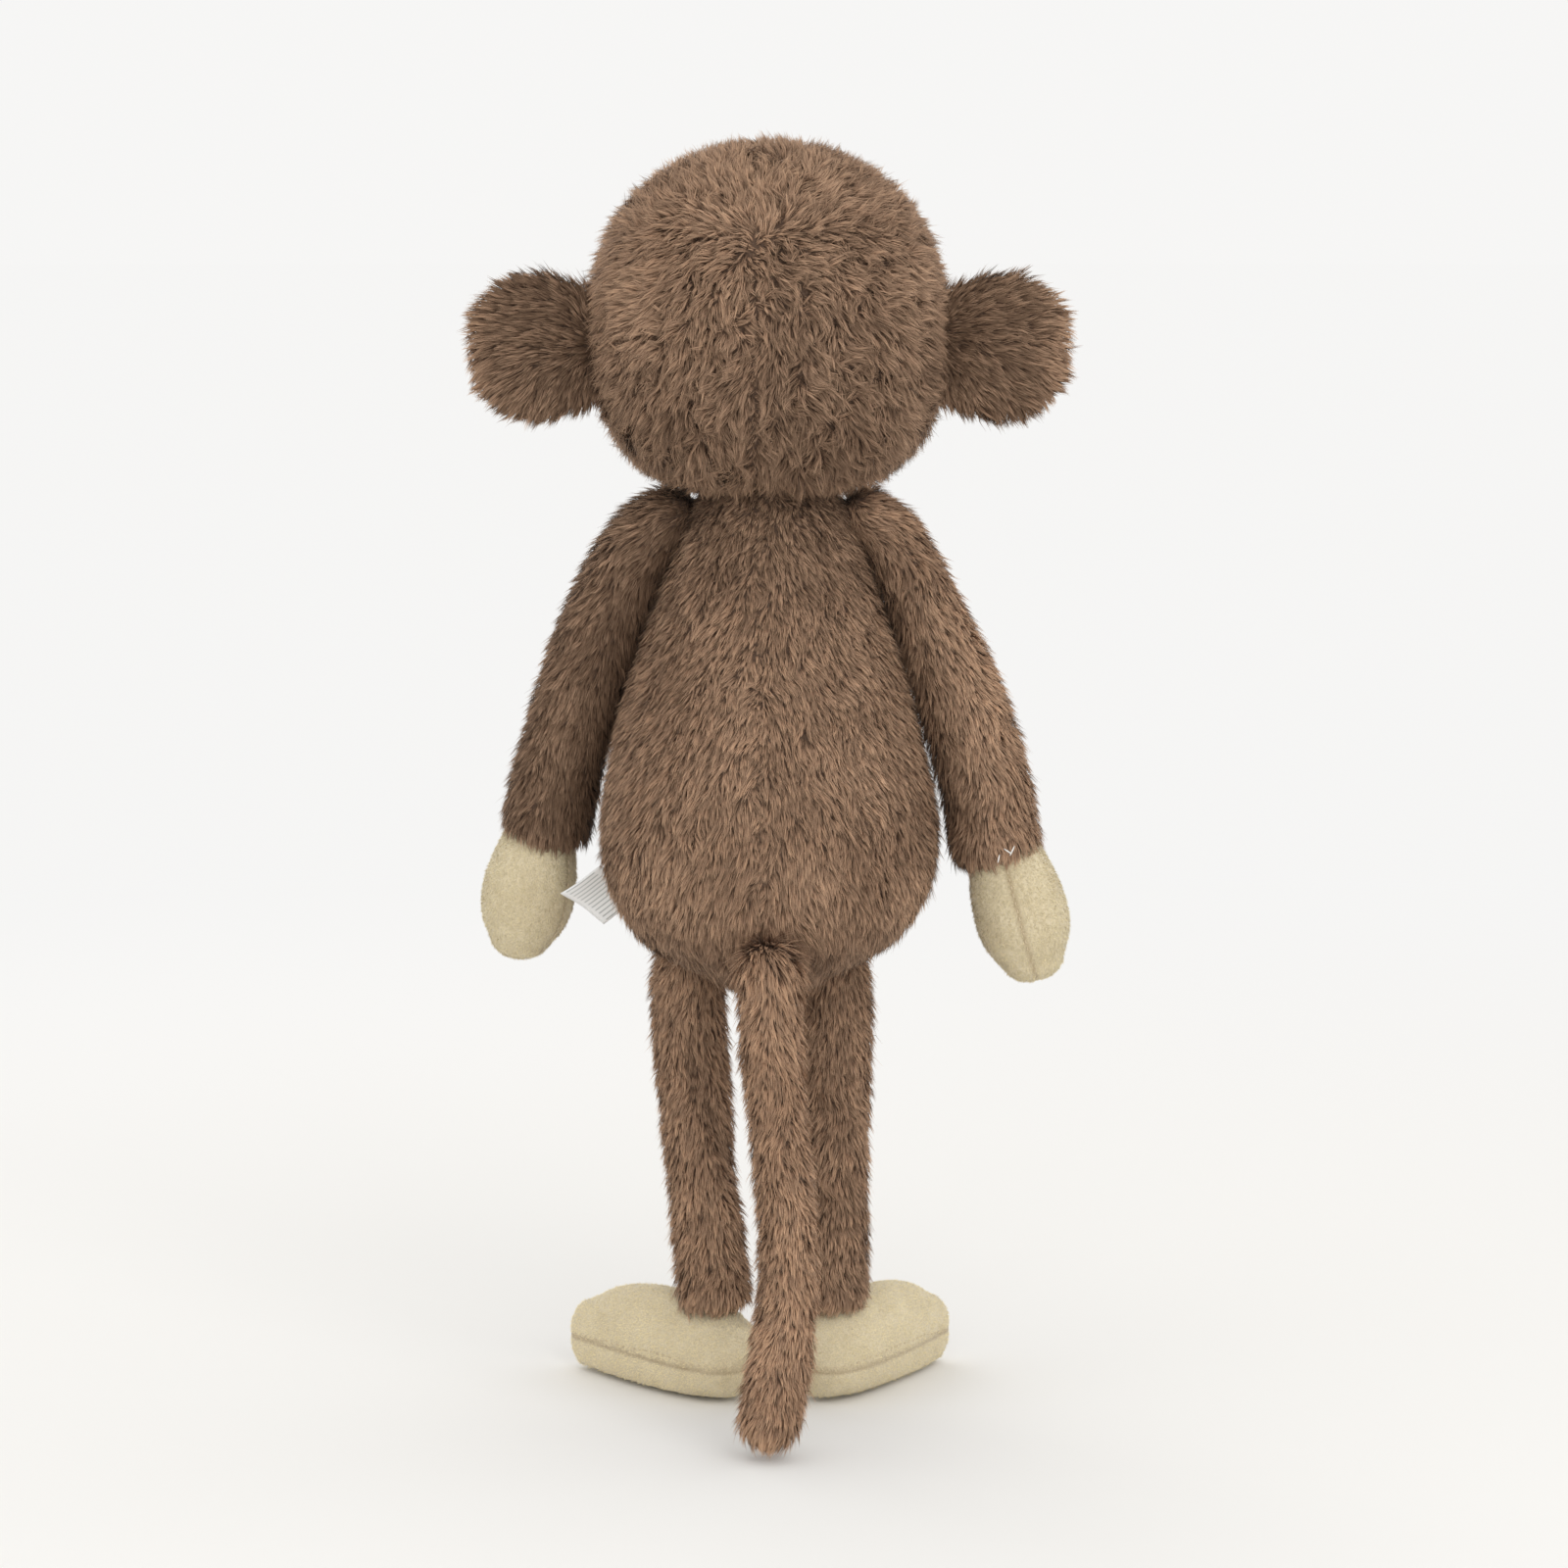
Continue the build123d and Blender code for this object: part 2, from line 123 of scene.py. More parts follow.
def make_floor():
    """A pale floor that fades into the white of the studio."""
    bpy.ops.mesh.primitive_circle_add(vertices=96, radius=30, fill_type="TRIFAN")
    floor = bpy.context.object
    floor.name = "floor"
    material = bpy.data.materials.new("paper")
    material.use_nodes = True
    nodes, links = material.node_tree.nodes, material.node_tree.links
    shader = nodes["Principled BSDF"]
    constants(shader, {"Base Color": (0.85, 0.84, 0.818, 1), "Roughness": 0.9})
    glow = nodes.new("ShaderNodeEmission")
    constants(glow, {"Color": STUDIO_WHITE, "Strength": 0.955})
    spot = nodes.new("ShaderNodeNewGeometry")
    reach = nodes.new("ShaderNodeVectorMath")
    reach.operation = "LENGTH"
    fade = nodes.new("ShaderNodeMapRange")
    fade.interpolation_type = "SMOOTHSTEP"
    constants(fade, {"From Min": 0.25, "From Max": 1.3})
    mix = nodes.new("ShaderNodeMixShader")
    links.new(spot.outputs["Position"], reach.inputs[0])
    links.new(reach.outputs["Value"], fade.inputs["Value"])
    links.new(fade.outputs["Result"], mix.inputs[0])
    links.new(shader.outputs[0], mix.inputs[1])
    links.new(glow.outputs[0], mix.inputs[2])
    links.new(mix.outputs[0], nodes["Material Output"].inputs["Surface"])
    floor.data.materials.append(material)


make_camera()
make_world()
make_floor()
make_lamp("key", (-0.8, 1.6, 1.1), 1.2, 10)
make_lamp("low", (0.3, 1.9, 0.65), 0.9, 4.5)
make_lamp("front", (0.7, -1.5, 1.2), 1.4, 5.5)
bpy.context.scene.view_settings.view_transform = "Standard"


# Materials


def new_material(name, roughness):
    """A material, its node tree and its shader."""
    material = bpy.data.materials.new(name)
    material.use_nodes = True
    shader = material.node_tree.nodes["Principled BSDF"]
    constants(shader, {"Roughness": roughness})
    return material, material.node_tree, shader


def noise(tree, scale, detail=3, stretch=None):
    """Noise over the object's own coordinates."""
    coordinates = tree.nodes.new("ShaderNodeTexCoord").outputs["Object"]
    texture = tree.nodes.new("ShaderNodeTexNoise")
    constants(texture, {"Scale": scale, "Detail": detail})
    if stretch:
        mapping = tree.nodes.new("ShaderNodeMapping")
        constants(mapping, {"Scale": stretch})
        tree.links.new(coordinates, mapping.inputs["Vector"])
        coordinates = mapping.outputs["Vector"]
    tree.links.new(coordinates, texture.inputs["Vector"])
    return texture.outputs["Fac"]


def ramp(tree, value, stops):
    """Colours along a value, as (position, colour) stops."""
    node = tree.nodes.new("ShaderNodeValToRGB")
    while len(node.color_ramp.elements) < len(stops):
        node.color_ramp.elements.new(0.5)
    for element, (position, colour) in zip(node.color_ramp.elements, stops):
        element.position = position
        element.color = (*colour, 1)
    tree.links.new(value, node.inputs["Fac"])
    return node.outputs["Color"]


def blend_colours(tree, kind, amount, first, second):
    """Two colours mixed, the amount a number or a socket."""
    mix = tree.nodes.new("ShaderNodeMix")
    mix.data_type = "RGBA"
    mix.blend_type = kind
    for socket, value in ((mix.inputs[0], amount), (mix.inputs[6], first), (mix.inputs[7], second)):
        if isinstance(value, bpy.types.NodeSocket):
            tree.links.new(value, socket)
        else:
            socket.default_value = value
    return mix.outputs[2]


def relieve(tree, shader, height, distance, strength=1.0):
    """Gives a shader small relief from a height."""
    node = tree.nodes.new("ShaderNodeBump")
    constants(node, {"Distance": distance, "Strength": strength})
    tree.links.new(height, node.inputs["Height"])
    tree.links.new(node.outputs["Normal"], shader.inputs["Normal"])


def colour_by(tree, shader, colour):
    """Gives a shader its colour."""
    tree.links.new(colour, shader.inputs["Base Color"])


def attribute(tree, name):
    """A number stored on the mesh."""
    node = tree.nodes.new("ShaderNodeAttribute")
    node.attribute_name = name
    return node.outputs["Fac"]


LABEL_ROWS = 12
LOCK_SHADES = ((0, (0.46, 0.44, 0.42)), (0.5, (1, 1, 1)), (1, (1.50, 1.48, 1.44)))
PATCH_SHADES = ((0.3, (0.82, 0.80, 0.79)), (0.7, (1.16, 1.17, 1.18)))


def milder(shades, uneven):
    """Shades drawn toward plain white by an amount."""
    return [(stop, tuple(1 + (c - 1) * uneven for c in colour)) for stop, colour in shades]


def fur_material(name, dark, middle, light, uneven=1.0):
    """Pile, darker at its roots and paler at its tips, more or less uneven from lock to lock."""
    material, tree, shader = new_material(name, 0.62)
    along = ramp(tree, attribute(tree, "tip"), ((0, dark), (0.45, middle), (1, light)))
    lock = ramp(tree, attribute(tree, "lock"), milder(LOCK_SHADES, uneven))
    patches = ramp(tree, noise(tree, 38), milder(PATCH_SHADES, uneven))
    mixed = blend_colours(tree, "MULTIPLY", 1.0, along, lock)
    colour_by(tree, shader, blend_colours(tree, "MULTIPLY", 1.0, mixed, patches))
    constants(shader, {"Specular IOR Level": 0.15, "Sheen Weight": 0.10, "Sheen Roughness": 0.5})
    constants(shader, {"Sheen Tint": (0.9, 0.8, 0.7, 1)})
    return material


def backing_material(name, dark, light):
    """The knitted cloth that the pile grows from."""
    material, tree, shader = new_material(name, 0.95)
    grain = noise(tree, 900, 4)
    colour_by(tree, shader, ramp(tree, grain, ((0.3, dark), (0.7, light))))
    relieve(tree, shader, grain, 0.0008)
    return material


def velour_material(name, dark, light):
    """Short dense nap, brushed a little unevenly, with painted shade in its seam grooves."""
    material, tree, shader = new_material(name, 0.85)
    cloud = noise(tree, 90, 4)
    nap = noise(tree, 1500, 5)
    brushed = ramp(tree, cloud, ((0.3, dark), (0.72, light)))
    fleck = ramp(tree, nap, ((0.25, (0.80, 0.79, 0.77)), (0.75, (1.1, 1.1, 1.1))))
    # Painted shade: the seam attribute darkens the nap where the seams sink in.
    groove = ramp(tree, attribute(tree, "seam"), ((0, (1, 1, 1)), (1, (0.62, 0.56, 0.50))))
    napped = blend_colours(tree, "MULTIPLY", 1.0, brushed, fleck)
    colour_by(tree, shader, blend_colours(tree, "MULTIPLY", 1.0, napped, groove))
    relieve(tree, shader, nap, 0.0006, 0.7)
    constants(shader, {"Specular IOR Level": 0.2, "Sheen Weight": 0.35, "Sheen Roughness": 0.4})
    return material


def plain_material(name, dark, light, roughness, scale=600, relief=0.0002, specular=0.5):
    """A material with a fine uneven grain."""
    material, tree, shader = new_material(name, roughness)
    grain = noise(tree, scale, 4)
    colour_by(tree, shader, ramp(tree, grain, ((0.35, dark), (0.65, light))))
    relieve(tree, shader, grain, relief, 0.6)
    constants(shader, {"Specular IOR Level": specular})
    return material


def stripe(tree, value, low, high, soft):
    """White between two values and black outside them."""
    black, white = (0, 0, 0), (1, 1, 1)
    stops = ((low, black), (low + soft, white), (high, white), (high + soft, black))
    return ramp(tree, value, stops)


def label_material():
    """White satin ribbon with rows of grey bars."""
    material, tree, shader = new_material("label_satin", 0.38)
    ribbon = tree.nodes.new("ShaderNodeUVMap")
    ribbon.uv_map = "OFBake"
    split = tree.nodes.new("ShaderNodeSeparateXYZ")
    tree.links.new(ribbon.outputs["UV"], split.inputs["Vector"])
    rows = tree.nodes.new("ShaderNodeMath")
    rows.operation = "MULTIPLY"
    rows.inputs[1].default_value = LABEL_ROWS
    tree.links.new(split.outputs["Y"], rows.inputs[0])
    fraction = tree.nodes.new("ShaderNodeMath")
    fraction.operation = "FRACT"
    tree.links.new(rows.outputs[0], fraction.inputs[0])
    bar = stripe(tree, fraction.outputs[0], 0.30, 0.62, 0.06)
    margin = stripe(tree, split.outputs["X"], 0.10, 0.80, 0.02)
    printed = blend_colours(tree, "MULTIPLY", 1.0, bar, margin)
    satin, ink = (0.86, 0.86, 0.85, 1), (0.48, 0.49, 0.48, 1)
    colour_by(tree, shader, blend_colours(tree, "MIX", printed, satin, ink))
    relieve(tree, shader, noise(tree, 700, 2, (1, 1, 6)), 0.0001, 0.4)
    constants(shader, {"Sheen Weight": 0.2})
    return material


def eye_material():
    """Black plastic, polished."""
    material, tree, shader = new_material("eye_plastic", 0.12)
    stops = ((0.3, (0.008, 0.005, 0.004)), (0.7, (0.014, 0.009, 0.007)))
    colour_by(tree, shader, ramp(tree, noise(tree, 250), stops))
    constants(shader, {"Specular IOR Level": 0.35, "Coat Weight": 0.2, "Coat Roughness": 0.03})
    return material


FUR = fur_material("fur", (0.105, 0.058, 0.035), (0.300, 0.182, 0.114), (0.480, 0.315, 0.205))
BACKING = backing_material("fur_backing", (0.070, 0.040, 0.025), (0.120, 0.072, 0.046))
NAP = fur_material("nap", (0.56, 0.475, 0.29), (0.68, 0.59, 0.38), (0.78, 0.69, 0.46), 0.4)
VELOUR = velour_material("velour", (0.62, 0.53, 0.36), (0.72, 0.63, 0.45))
THREAD = plain_material("thread", (0.50, 0.40, 0.26), (0.66, 0.55, 0.38), 0.7, 1400)
BROWN_THREAD = plain_material("brown_thread", (0.09, 0.055, 0.036), (0.14, 0.09, 0.06), 0.7, 1400)
WHITE_THREAD = plain_material("white_thread", (0.70, 0.68, 0.64), (0.86, 0.85, 0.82), 0.6, 1400)
NOSE = plain_material("nose_cloth", (0.02, 0.011, 0.008), (0.05, 0.03, 0.022), 0.75, 1500, 0.0005)
LABEL = label_material()
EYE = eye_material()
BAG = plain_material("bag_cloth", (0.66, 0.63, 0.58), (0.78, 0.76, 0.71), 0.9, 800, 0.0003)
PELLETS = plain_material("pellets", (0.72, 0.72, 0.69), (0.88, 0.88, 0.86), 0.45, 420, 0.002)
WASHER = plain_material("washer_plastic", (0.74, 0.74, 0.71), (0.80, 0.80, 0.78), 0.4, 300)


# Closed forms


def curve(points, count):
    """Rows of numbers on a smooth curve through the given rows."""
    rows = np.array(points, float)
    rows = np.vstack([2 * rows[0] - rows[1], rows, 2 * rows[-1] - rows[-2]])
    step = np.linspace(0, len(rows) - 3, count)
    start = np.minimum(step.astype(int), len(rows) - 4)
    t = (step - start)[:, None]
    a, b, c, d = (rows[start + shift] for shift in range(4))
    return 0.5 * (
        2 * b + (c - a) * t + (2 * a - 5 * b + 4 * c - d) * t**2 + (3 * b - a - 3 * c + d) * t**3
    )


def new_object(name, vertices, faces, material):
    """A mesh object in the shared frame."""
    mesh = bpy.data.meshes.new(name)
    mesh.from_pydata([tuple(v) for v in vertices], [], faces)
    mesh.materials.append(material)
    mesh.update()
    made = bpy.data.objects.new(name, mesh)
    bpy.context.collection.objects.link(made)
    return made


def grid_faces(rings, around):
    """Quads between closed rings, and a fan over each end's last point."""
    faces = []
    for ring in range(rings - 1):
        for step in range(around):
            after = (step + 1) % around
            low, high = ring * around, (ring + 1) * around
            faces.append((low + step, low + after, high + after, high + step))
    first, last = rings * around, rings * around + 1
    top = (rings - 1) * around
    for step in range(around):
        after = (step + 1) % around
        faces.append((first, after, step))
        faces.append((last, top + step, top + after))
    return faces


def shade_smooth(made):
    """Smooth shading all over."""
    made.data.polygons.foreach_set("use_smooth", [True] * len(made.data.polygons))


def loft(name, stations, material, rings=40, around=48, domes=(1.0, 1.0)):
    """A closed form about a curved axis. Each station is x, y, z and its two half-widths, in mm."""
    rows = curve(stations, rings) * MM
    centres, widths = rows[:, :3], rows[:, 3:]
    tangents = unit(np.gradient(centres, axis=0))
    turns = np.linspace(0, math.pi / 2, 9)[1:-1]
    ends = ((0, -domes[0]), (-1, domes[1]))
    start, end = (tangents[k] * widths[k].min() * share for k, share in ends)

    def dome(k, reach, turns):
        return [(centres[k] + reach * math.sin(t), widths[k] * math.cos(t), tangents[k]) for t in turns]

    parts = [*dome(0, start, turns[::-1]), *zip(centres, widths, tangents), *dome(-1, end, turns)]
    angles = np.linspace(0, 2 * math.pi, around, endpoint=False)
    vertices = []
    for centre, (across, deep), tangent in parts:
        upright = abs(tangent[1]) < 0.9
        side = unit(np.cross([0, 1, 0], tangent)) if upright else np.array([1.0, 0, 0])
        ahead = np.cross(tangent, side)
        vertices += [
            centre + side * across * math.cos(a) + ahead * deep * math.sin(a) for a in angles
        ]
    vertices += [centres[0] + start, centres[-1] + end]
    return new_object(name, vertices, grid_faces(len(parts), around), material)


def globe(name, centre, radii, powers, material, rings=40, around=72):
    """A ball with its own height and squareness above and below its middle.

    radii are across, fore and aft, up and down. The higher a power, the squarer it is.
    """
    vertices = []
    for turn in np.linspace(-math.pi / 2, math.pi / 2, rings + 2)[1:-1]:
        for angle in np.linspace(0, 2 * math.pi, around, endpoint=False):
            vertices.append(
                (math.cos(turn) * math.cos(angle), math.cos(turn) * math.sin(angle), math.sin(turn))
            )
    vertices += [(0, 0, -1), (0, 0, 1)]
    directions = np.array(vertices)
    across, deep, up, down = radii
    rising = directions[:, 2] > 0
    power = np.where(rising, *powers)
    level = np.hypot(directions[:, 0] / across, directions[:, 1] / deep)
    height = np.abs(directions[:, 2]) / np.where(rising, up, down)
    size = (level**power + height**power) ** (-1 / power)
    points = np.array(centre) + directions * size[:, None]
    return new_object(name, points * MM, grid_faces(rings, around), material)


def positions(mesh, kind="co"):
    """The mesh's points as an array, or its normals if kind is normal."""
    flat = np.empty(len(mesh.vertices) * 3)
    mesh.vertices.foreach_get(kind, flat)
    return flat.reshape(-1, 3)


def set_positions(mesh, points):
    """Moves the mesh's points."""
    mesh.vertices.foreach_set("co", np.ascontiguousarray(points, dtype=np.float32).ravel())
    mesh.update()


def apply_modifiers(made):
    """Keeps the shape that the modifiers give."""
    depsgraph = bpy.context.evaluated_depsgraph_get()
    shaped = bpy.data.meshes.new_from_object(made.evaluated_get(depsgraph))
    made.modifiers.clear()
    made.data = shaped


def drift(points, scale, seed):
    """Smooth random vectors that change over about this many millimetres."""
    rng = np.random.default_rng(seed)
    waves = rng.normal(size=(3, 5, 3)) / (scale * MM)
    phases = rng.uniform(0, 2 * math.pi, (3, 5))
    return np.stack([np.sin(points @ w.T + p).mean(axis=1) for w, p in zip(waves, phases)], axis=1)


def even_mesh(made, voxel):
    """Even faces all over, as cloth needs."""
    modifier = made.modifiers.new("remesh", "REMESH")
    modifier.mode = "VOXEL"
    modifier.voxel_size = voxel * MM
    modifier.use_smooth_shade = True
    apply_modifiers(made)


def dent(made, depth_of):
    """Moves each point along its normal by the millimetres that depth_of gives."""
    points, normals = positions(made.data), positions(made.data, "normal")
    set_positions(made.data, points + normals * depth_of(points)[:, None] * MM)


def near(distance, width):
    """1 at a distance of nothing, falling away over a width in mm."""
    return np.exp(-((distance / (width * MM)) ** 2))


def store(mesh, name, values):
    """Keeps a number at each point of a mesh."""
    kept = mesh.attributes.new(name, "FLOAT", "POINT")
    kept.data.foreach_set("value", np.asarray(values, np.float32))


padded_forms = []
CLOTH_FRAMES = 16
CLOTH = {
    "quality": 4,
    "mass": 0.2,
    "use_pressure": True,
    "uniform_pressure_force": 3.5,
    "tension_stiffness": 12,
    "compression_stiffness": 12,
    "bending_stiffness": 0.4,
    "vertex_group_mass": "held",
}


def stuffed(made, seam_distance, voxel=3.5, fill=0.8, swell=2.0, lumps=0.7, groove=0.8, seed=1):
    """Gets a form ready to be blown up like cloth between its seams."""
    even_mesh(made, voxel)
    dent(made, lambda p: lumps * drift(p, 14, seed)[:, 0] - groove * near(seam_distance(p), 2.5))
    padded_forms.append((made, seam_distance, fill, swell))
    return made


def blow_up():
    """Cloth under pressure, all forms at once, held at the seams. The result is kept."""
    scene = bpy.context.scene
    before = {}
    for made, seam_distance, fill, swell in padded_forms:
        before[made.name] = positions(made.data)
        held = made.vertex_groups.new(name="held")
        hold = near(seam_distance(before[made.name]), 2.2)
        for index in np.nonzero(hold > 0.35)[0]:
            held.add([int(index)], float(hold[index]), "REPLACE")
        cloth = made.modifiers.new("cloth", "CLOTH")
        for name, value in CLOTH.items():
            setattr(cloth.settings, name, value)
        cloth.settings.effector_weights.gravity = 0
        cloth.collision_settings.use_collision = False
        cloth.point_cache.frame_start, cloth.point_cache.frame_end = 1, CLOTH_FRAMES
    for step in range(1, CLOTH_FRAMES + 1):
        scene.frame_set(step)
    for made, seam_distance, fill, swell in padded_forms:
        apply_modifiers(made)
        made.vertex_groups.clear()
        move = positions(made.data) - before[made.name]
        size = np.linalg.norm(move, axis=1, keepdims=True)
        limit = swell * MM
        eased = limit * np.tanh(size / limit) / np.maximum(size, 1e-9)
        set_positions(made.data, before[made.name] + move * eased)
        subdivide = made.modifiers.new("smooth", "SUBSURF")
        subdivide.levels = subdivide.render_levels = 1
        apply_modifiers(made)
        shade_smooth(made)
        # The seam attribute marks where the velour gets painted shade in its seams.
        store(made.data, "seam", near(seam_distance(positions(made.data)), 0.9))
    scene.frame_set(1)


def nowhere(points):
    """A seam distance for a form whose seams don't show."""
    return np.full(len(points), 1.0)


# The stuffed forms. Skins lie under the pile, so they are smaller than the outline.

HEAD = np.array([0.0, 0.0, 372.0])
BODY_SEAM_X = 0.003
HEAD_SEAM_X = 0.0045
SIDE_SEAM_Y = -0.004
EAR_SEAM_Y = 0.004


def back_seam(points, seam_x, seam_y):
    """Distance to the seam down the middle of the back, and to the side seams."""
    middle = np.where(points[:, 1] > seam_y, np.abs(points[:, 0] - seam_x), 1)
    return np.minimum(middle, np.abs(points[:, 1] - seam_y))


def body_seams(points):
    """Distance to the body's seams."""
    return back_seam(points, BODY_SEAM_X, SIDE_SEAM_Y)


def head_seams(points):
    """Distance to the head's seams."""
    return back_seam(points, HEAD_SEAM_X, EAR_SEAM_Y)


body = loft(
    "body_cloth",
    (
        (0, 0, 150, 18, 17),
        (0, 0, 157, 33, 31),
        (0, 0, 167, 45, 44),
        (0, 0, 181, 52.5, 51),
        (0, -1, 197, 54.5, 53),
        (0, -1, 214, 52.5, 51.5),
        (0, -1, 247, 45, 45),
        (0, 0, 280, 34.5, 36),
        (0, 0, 303, 26.5, 28),
        (0, 0, 312, 21, 22),
    ),
    BACKING,
    rings=56,
    around=72,
    domes=(0.35, 0.35),
)

PUCKERS = (267, 250, 232)


def body_dents(points):
    """Full flanks, and pulled-in spots where the back was sewn shut."""
    depth = 1.1 * near(points[:, 2] - 0.225, 45)
    for level in PUCKERS:
        spot = np.hypot(points[:, 0] - BODY_SEAM_X, points[:, 2] - level * MM)
        depth -= 2.2 * near(spot, 3.5) * (points[:, 1] > 0)
    return depth


stuffed(body, body_seams, voxel=4, fill=0.75, swell=2.2, seed=3)
dent(body, body_dents)

HEAD_SIZE = (56.8, 54.0, 54.4, 58.5)
HEAD_SQUARENESS = (2.1, 2.9)
head = globe("head_cloth", HEAD, HEAD_SIZE, HEAD_SQUARENESS, BACKING)
stuffed(head, head_seams, voxel=4, fill=0.9, swell=1.2, seed=5)

ears = {}
for side, sign in SIDES.items():
    ears[side] = loft(
        f"ear_{side}_cloth",
        (
            (sign * 50, 1.5, 361, 14, 2.5),
            (sign * 58, 2, 361, 18, 3.2),
            (sign * 68, 3, 361, 22, 4.6),
            (sign * 78, 3, 361, 23.4, 4.8),
            (sign * 87, 2.5, 361, 21, 4.2),
            (sign * 94.5, 2, 361, 14.5, 3.0),
        ),
        BACKING,
        rings=30,
        domes=(0.5, 1.2),
    )
    stuffed(ears[side], nowhere, voxel=2.2, fill=0.35, swell=0.8, lumps=0.5, seed=7)

ARM_FORWARD = {"left": -23.4, "right": 0}
ARM_END = {"left": (76.4, 196.0), "right": (76.8, 191.0)}
arms, arm_paths = {}, {}


def outward(points, side):
    """How far points lie to the outside of an arm's middle line, in mm."""
    path = np.abs(np.array(arm_paths[side])[::-1])
    return np.abs(points[:, 0]) / MM - np.interp(points[:, 2] / MM, path[:, 2], path[:, 0])


for side, sign in SIDES.items():
    lean = ARM_FORWARD[side]
    end_x, end_z = ARM_END[side]
    arm_paths[side] = (
        (sign * 33, 0, 303, 8.0, 9.0),
        (sign * 42, lean * 0.04, 295, 10.4, 10.8),
        (sign * 51, lean * 0.16, 279, 11.4, 11.6),
        (sign * 60, lean * 0.40, 255, 12.2, 12.0),
        (sign * 68, lean * 0.66, 231, 12.6, 12.2),
        (sign * 73.5, lean * 0.86, 211, 12.8, 12.2),
        (sign * end_x, lean, end_z, 12.9, 12.2),
    )
    arms[side] = loft(f"arm_{side}_cloth", arm_paths[side], BACKING, rings=44, domes=(1, 0.25))
    stuffed(arms[side], nowhere, voxel=2.8, fill=0.7, swell=1.3, seed=11)
    dent(arms[side], lambda p: 1.0 + 1.5 * np.clip((p[:, 2] - 0.298) / 0.01, 0, 1))
    if side == "right":
        dent(
            arms[side],
            lambda p: -3.2 * near(p[:, 2] - 0.286, 28) * np.clip(outward(p, "right") / 6, 0, 1),
        )


def hand_axis(side):
    """Directions down the hand and out of its back, and the wrist."""
    sign = SIDES[side]
    down = {"left": (0.20, -0.20, -0.96), "right": (-0.26, 0.02, -0.965)}[side]
    down = unit(np.array(down))
    turn = math.radians({"left": 58, "right": 4}[side])
    seam_way = np.array([-sign * math.sin(turn), math.cos(turn), 0])
    seam_way = unit(seam_way - down * (seam_way @ down))
    return joint_place[f"wrist_{side}_flex"], down, seam_way


def hand_seam(side):
    """Distance to the seam that runs round the hand."""
    wrist, down, seam_way = hand_axis(side)
    across = np.cross(down, seam_way)
    return lambda points: np.abs((points - wrist) @ across)


HAND_SHAPE = ((-9, 9), (-2, 11), (6, 13.2), (16, 15.2), (26, 15.6), (34, 13.6), (39.5, 10.2))
hands = {}
for side in SIDES:
    wrist, down, seam_way = hand_axis(side)
    stations = [(*(wrist / MM + down * along), r, r * 0.93) for along, r in HAND_SHAPE]
    hands[side] = loft(f"hand_{side}_cloth", stations, VELOUR, rings=30, domes=(0.6, 0.72))
    looks = {"voxel": 2.2, "fill": 0.85, "swell": 0.6, "lumps": 0.4, "groove": 0.2}
    stuffed(hands[side], hand_seam(side), **looks, seed=13)

LEG_END = {"left": (18.5, -10), "right": (21.5, -10)}
LEG_TOP = {"left": (28.0, -16), "right": (22.5, -16)}
legs = {}
for side, sign in SIDES.items():
    top_x, top_y = LEG_TOP[side]
    end_x, end_y = LEG_END[side]
    legs[side] = loft(
        f"leg_{side}_cloth",
        (
            (sign * (top_x - 1), top_y, 152, 10.6, 10.8),
            (sign * top_x, top_y, 138, 11.2, 11.2),
            (sign * (top_x * 0.72 + end_x * 0.28), -14, 105, 10.9, 11),
            (sign * (top_x * 0.35 + end_x * 0.65), -12, 70, 10.5, 10.8),
            (sign * end_x, end_y, 34, 10.9, 11),
        ),
        BACKING,
        rings=50,
        domes=(0.8, 0.15),
    )
    stuffed(legs[side], nowhere, voxel=2.8, fill=0.6, swell=0.8, seed=17)


def leg_crease(points):
    """A fold that runs down and inward across the back of the left leg."""
    start, end = place(27.5, 0, 122), place(8, 0, 66)
    span = end - start
    t = np.clip(((points - start)[:, [0, 2]] @ span[[0, 2]]) / (span[[0, 2]] @ span[[0, 2]]), 0, 1)
    nearest = start + t[:, None] * span
    gap = np.hypot(points[:, 0] - nearest[:, 0], points[:, 2] - nearest[:, 2])
    return -2.4 * near(gap, 2.4) * (points[:, 1] > -14 * MM)


dent(legs["left"], leg_crease)

FOOT_SPLAY = {"left": 48, "right": 36}
FOOT_SEAM_Z = 0.0125
SOLE_LEVEL = 0.0008
feet = {}


def foot_frame(side):
    """The ankle, and the way that the foot points."""
    splay = math.radians(FOOT_SPLAY[side])
    return joint_place[f"ankle_{side}_tilt"], np.array(
        [SIDES[side] * math.sin(splay), -math.cos(splay), 0]
    )


def foot_seam(points):
    """Distance to the seam round the foot."""
    return np.abs(points[:, 2] - FOOT_SEAM_Z)


FOOT_SHAPE = (
    (-8, 14.2, 13.6, 12.8),
    (3, 15.8, 18.0, 14.8),
    (15, 15.0, 21.0, 14.2),
    (28, 13.6, 22.2, 12.7),
    (43, 12.2, 20.4, 10.4),
    (57, 11.2, 14.8, 7.4),
)
for side in SIDES:
    ankle, ahead = foot_frame(side)
    heel = ankle / MM
    stations = [(*(heel + ahead * along)[:2], z, wide, tall) for along, z, wide, tall in FOOT_SHAPE]
    feet[side] = loft(f"foot_{side}_cloth", stations, VELOUR, rings=34, domes=(0.6, 1.5))
    spots = positions(feet[side].data)
    height = spots[:, 2].copy()
    rounding = 0.0006 * np.exp(-np.maximum(height, 0) / 0.002)
    spots[:, 2] = SOLE_LEVEL + np.maximum(height - SOLE_LEVEL, 0) + rounding
    set_positions(feet[side].data, spots)
    stuffed(feet[side], foot_seam, voxel=2.4, fill=0.8, swell=0.9, lumps=0.6, groove=0.3, seed=19)

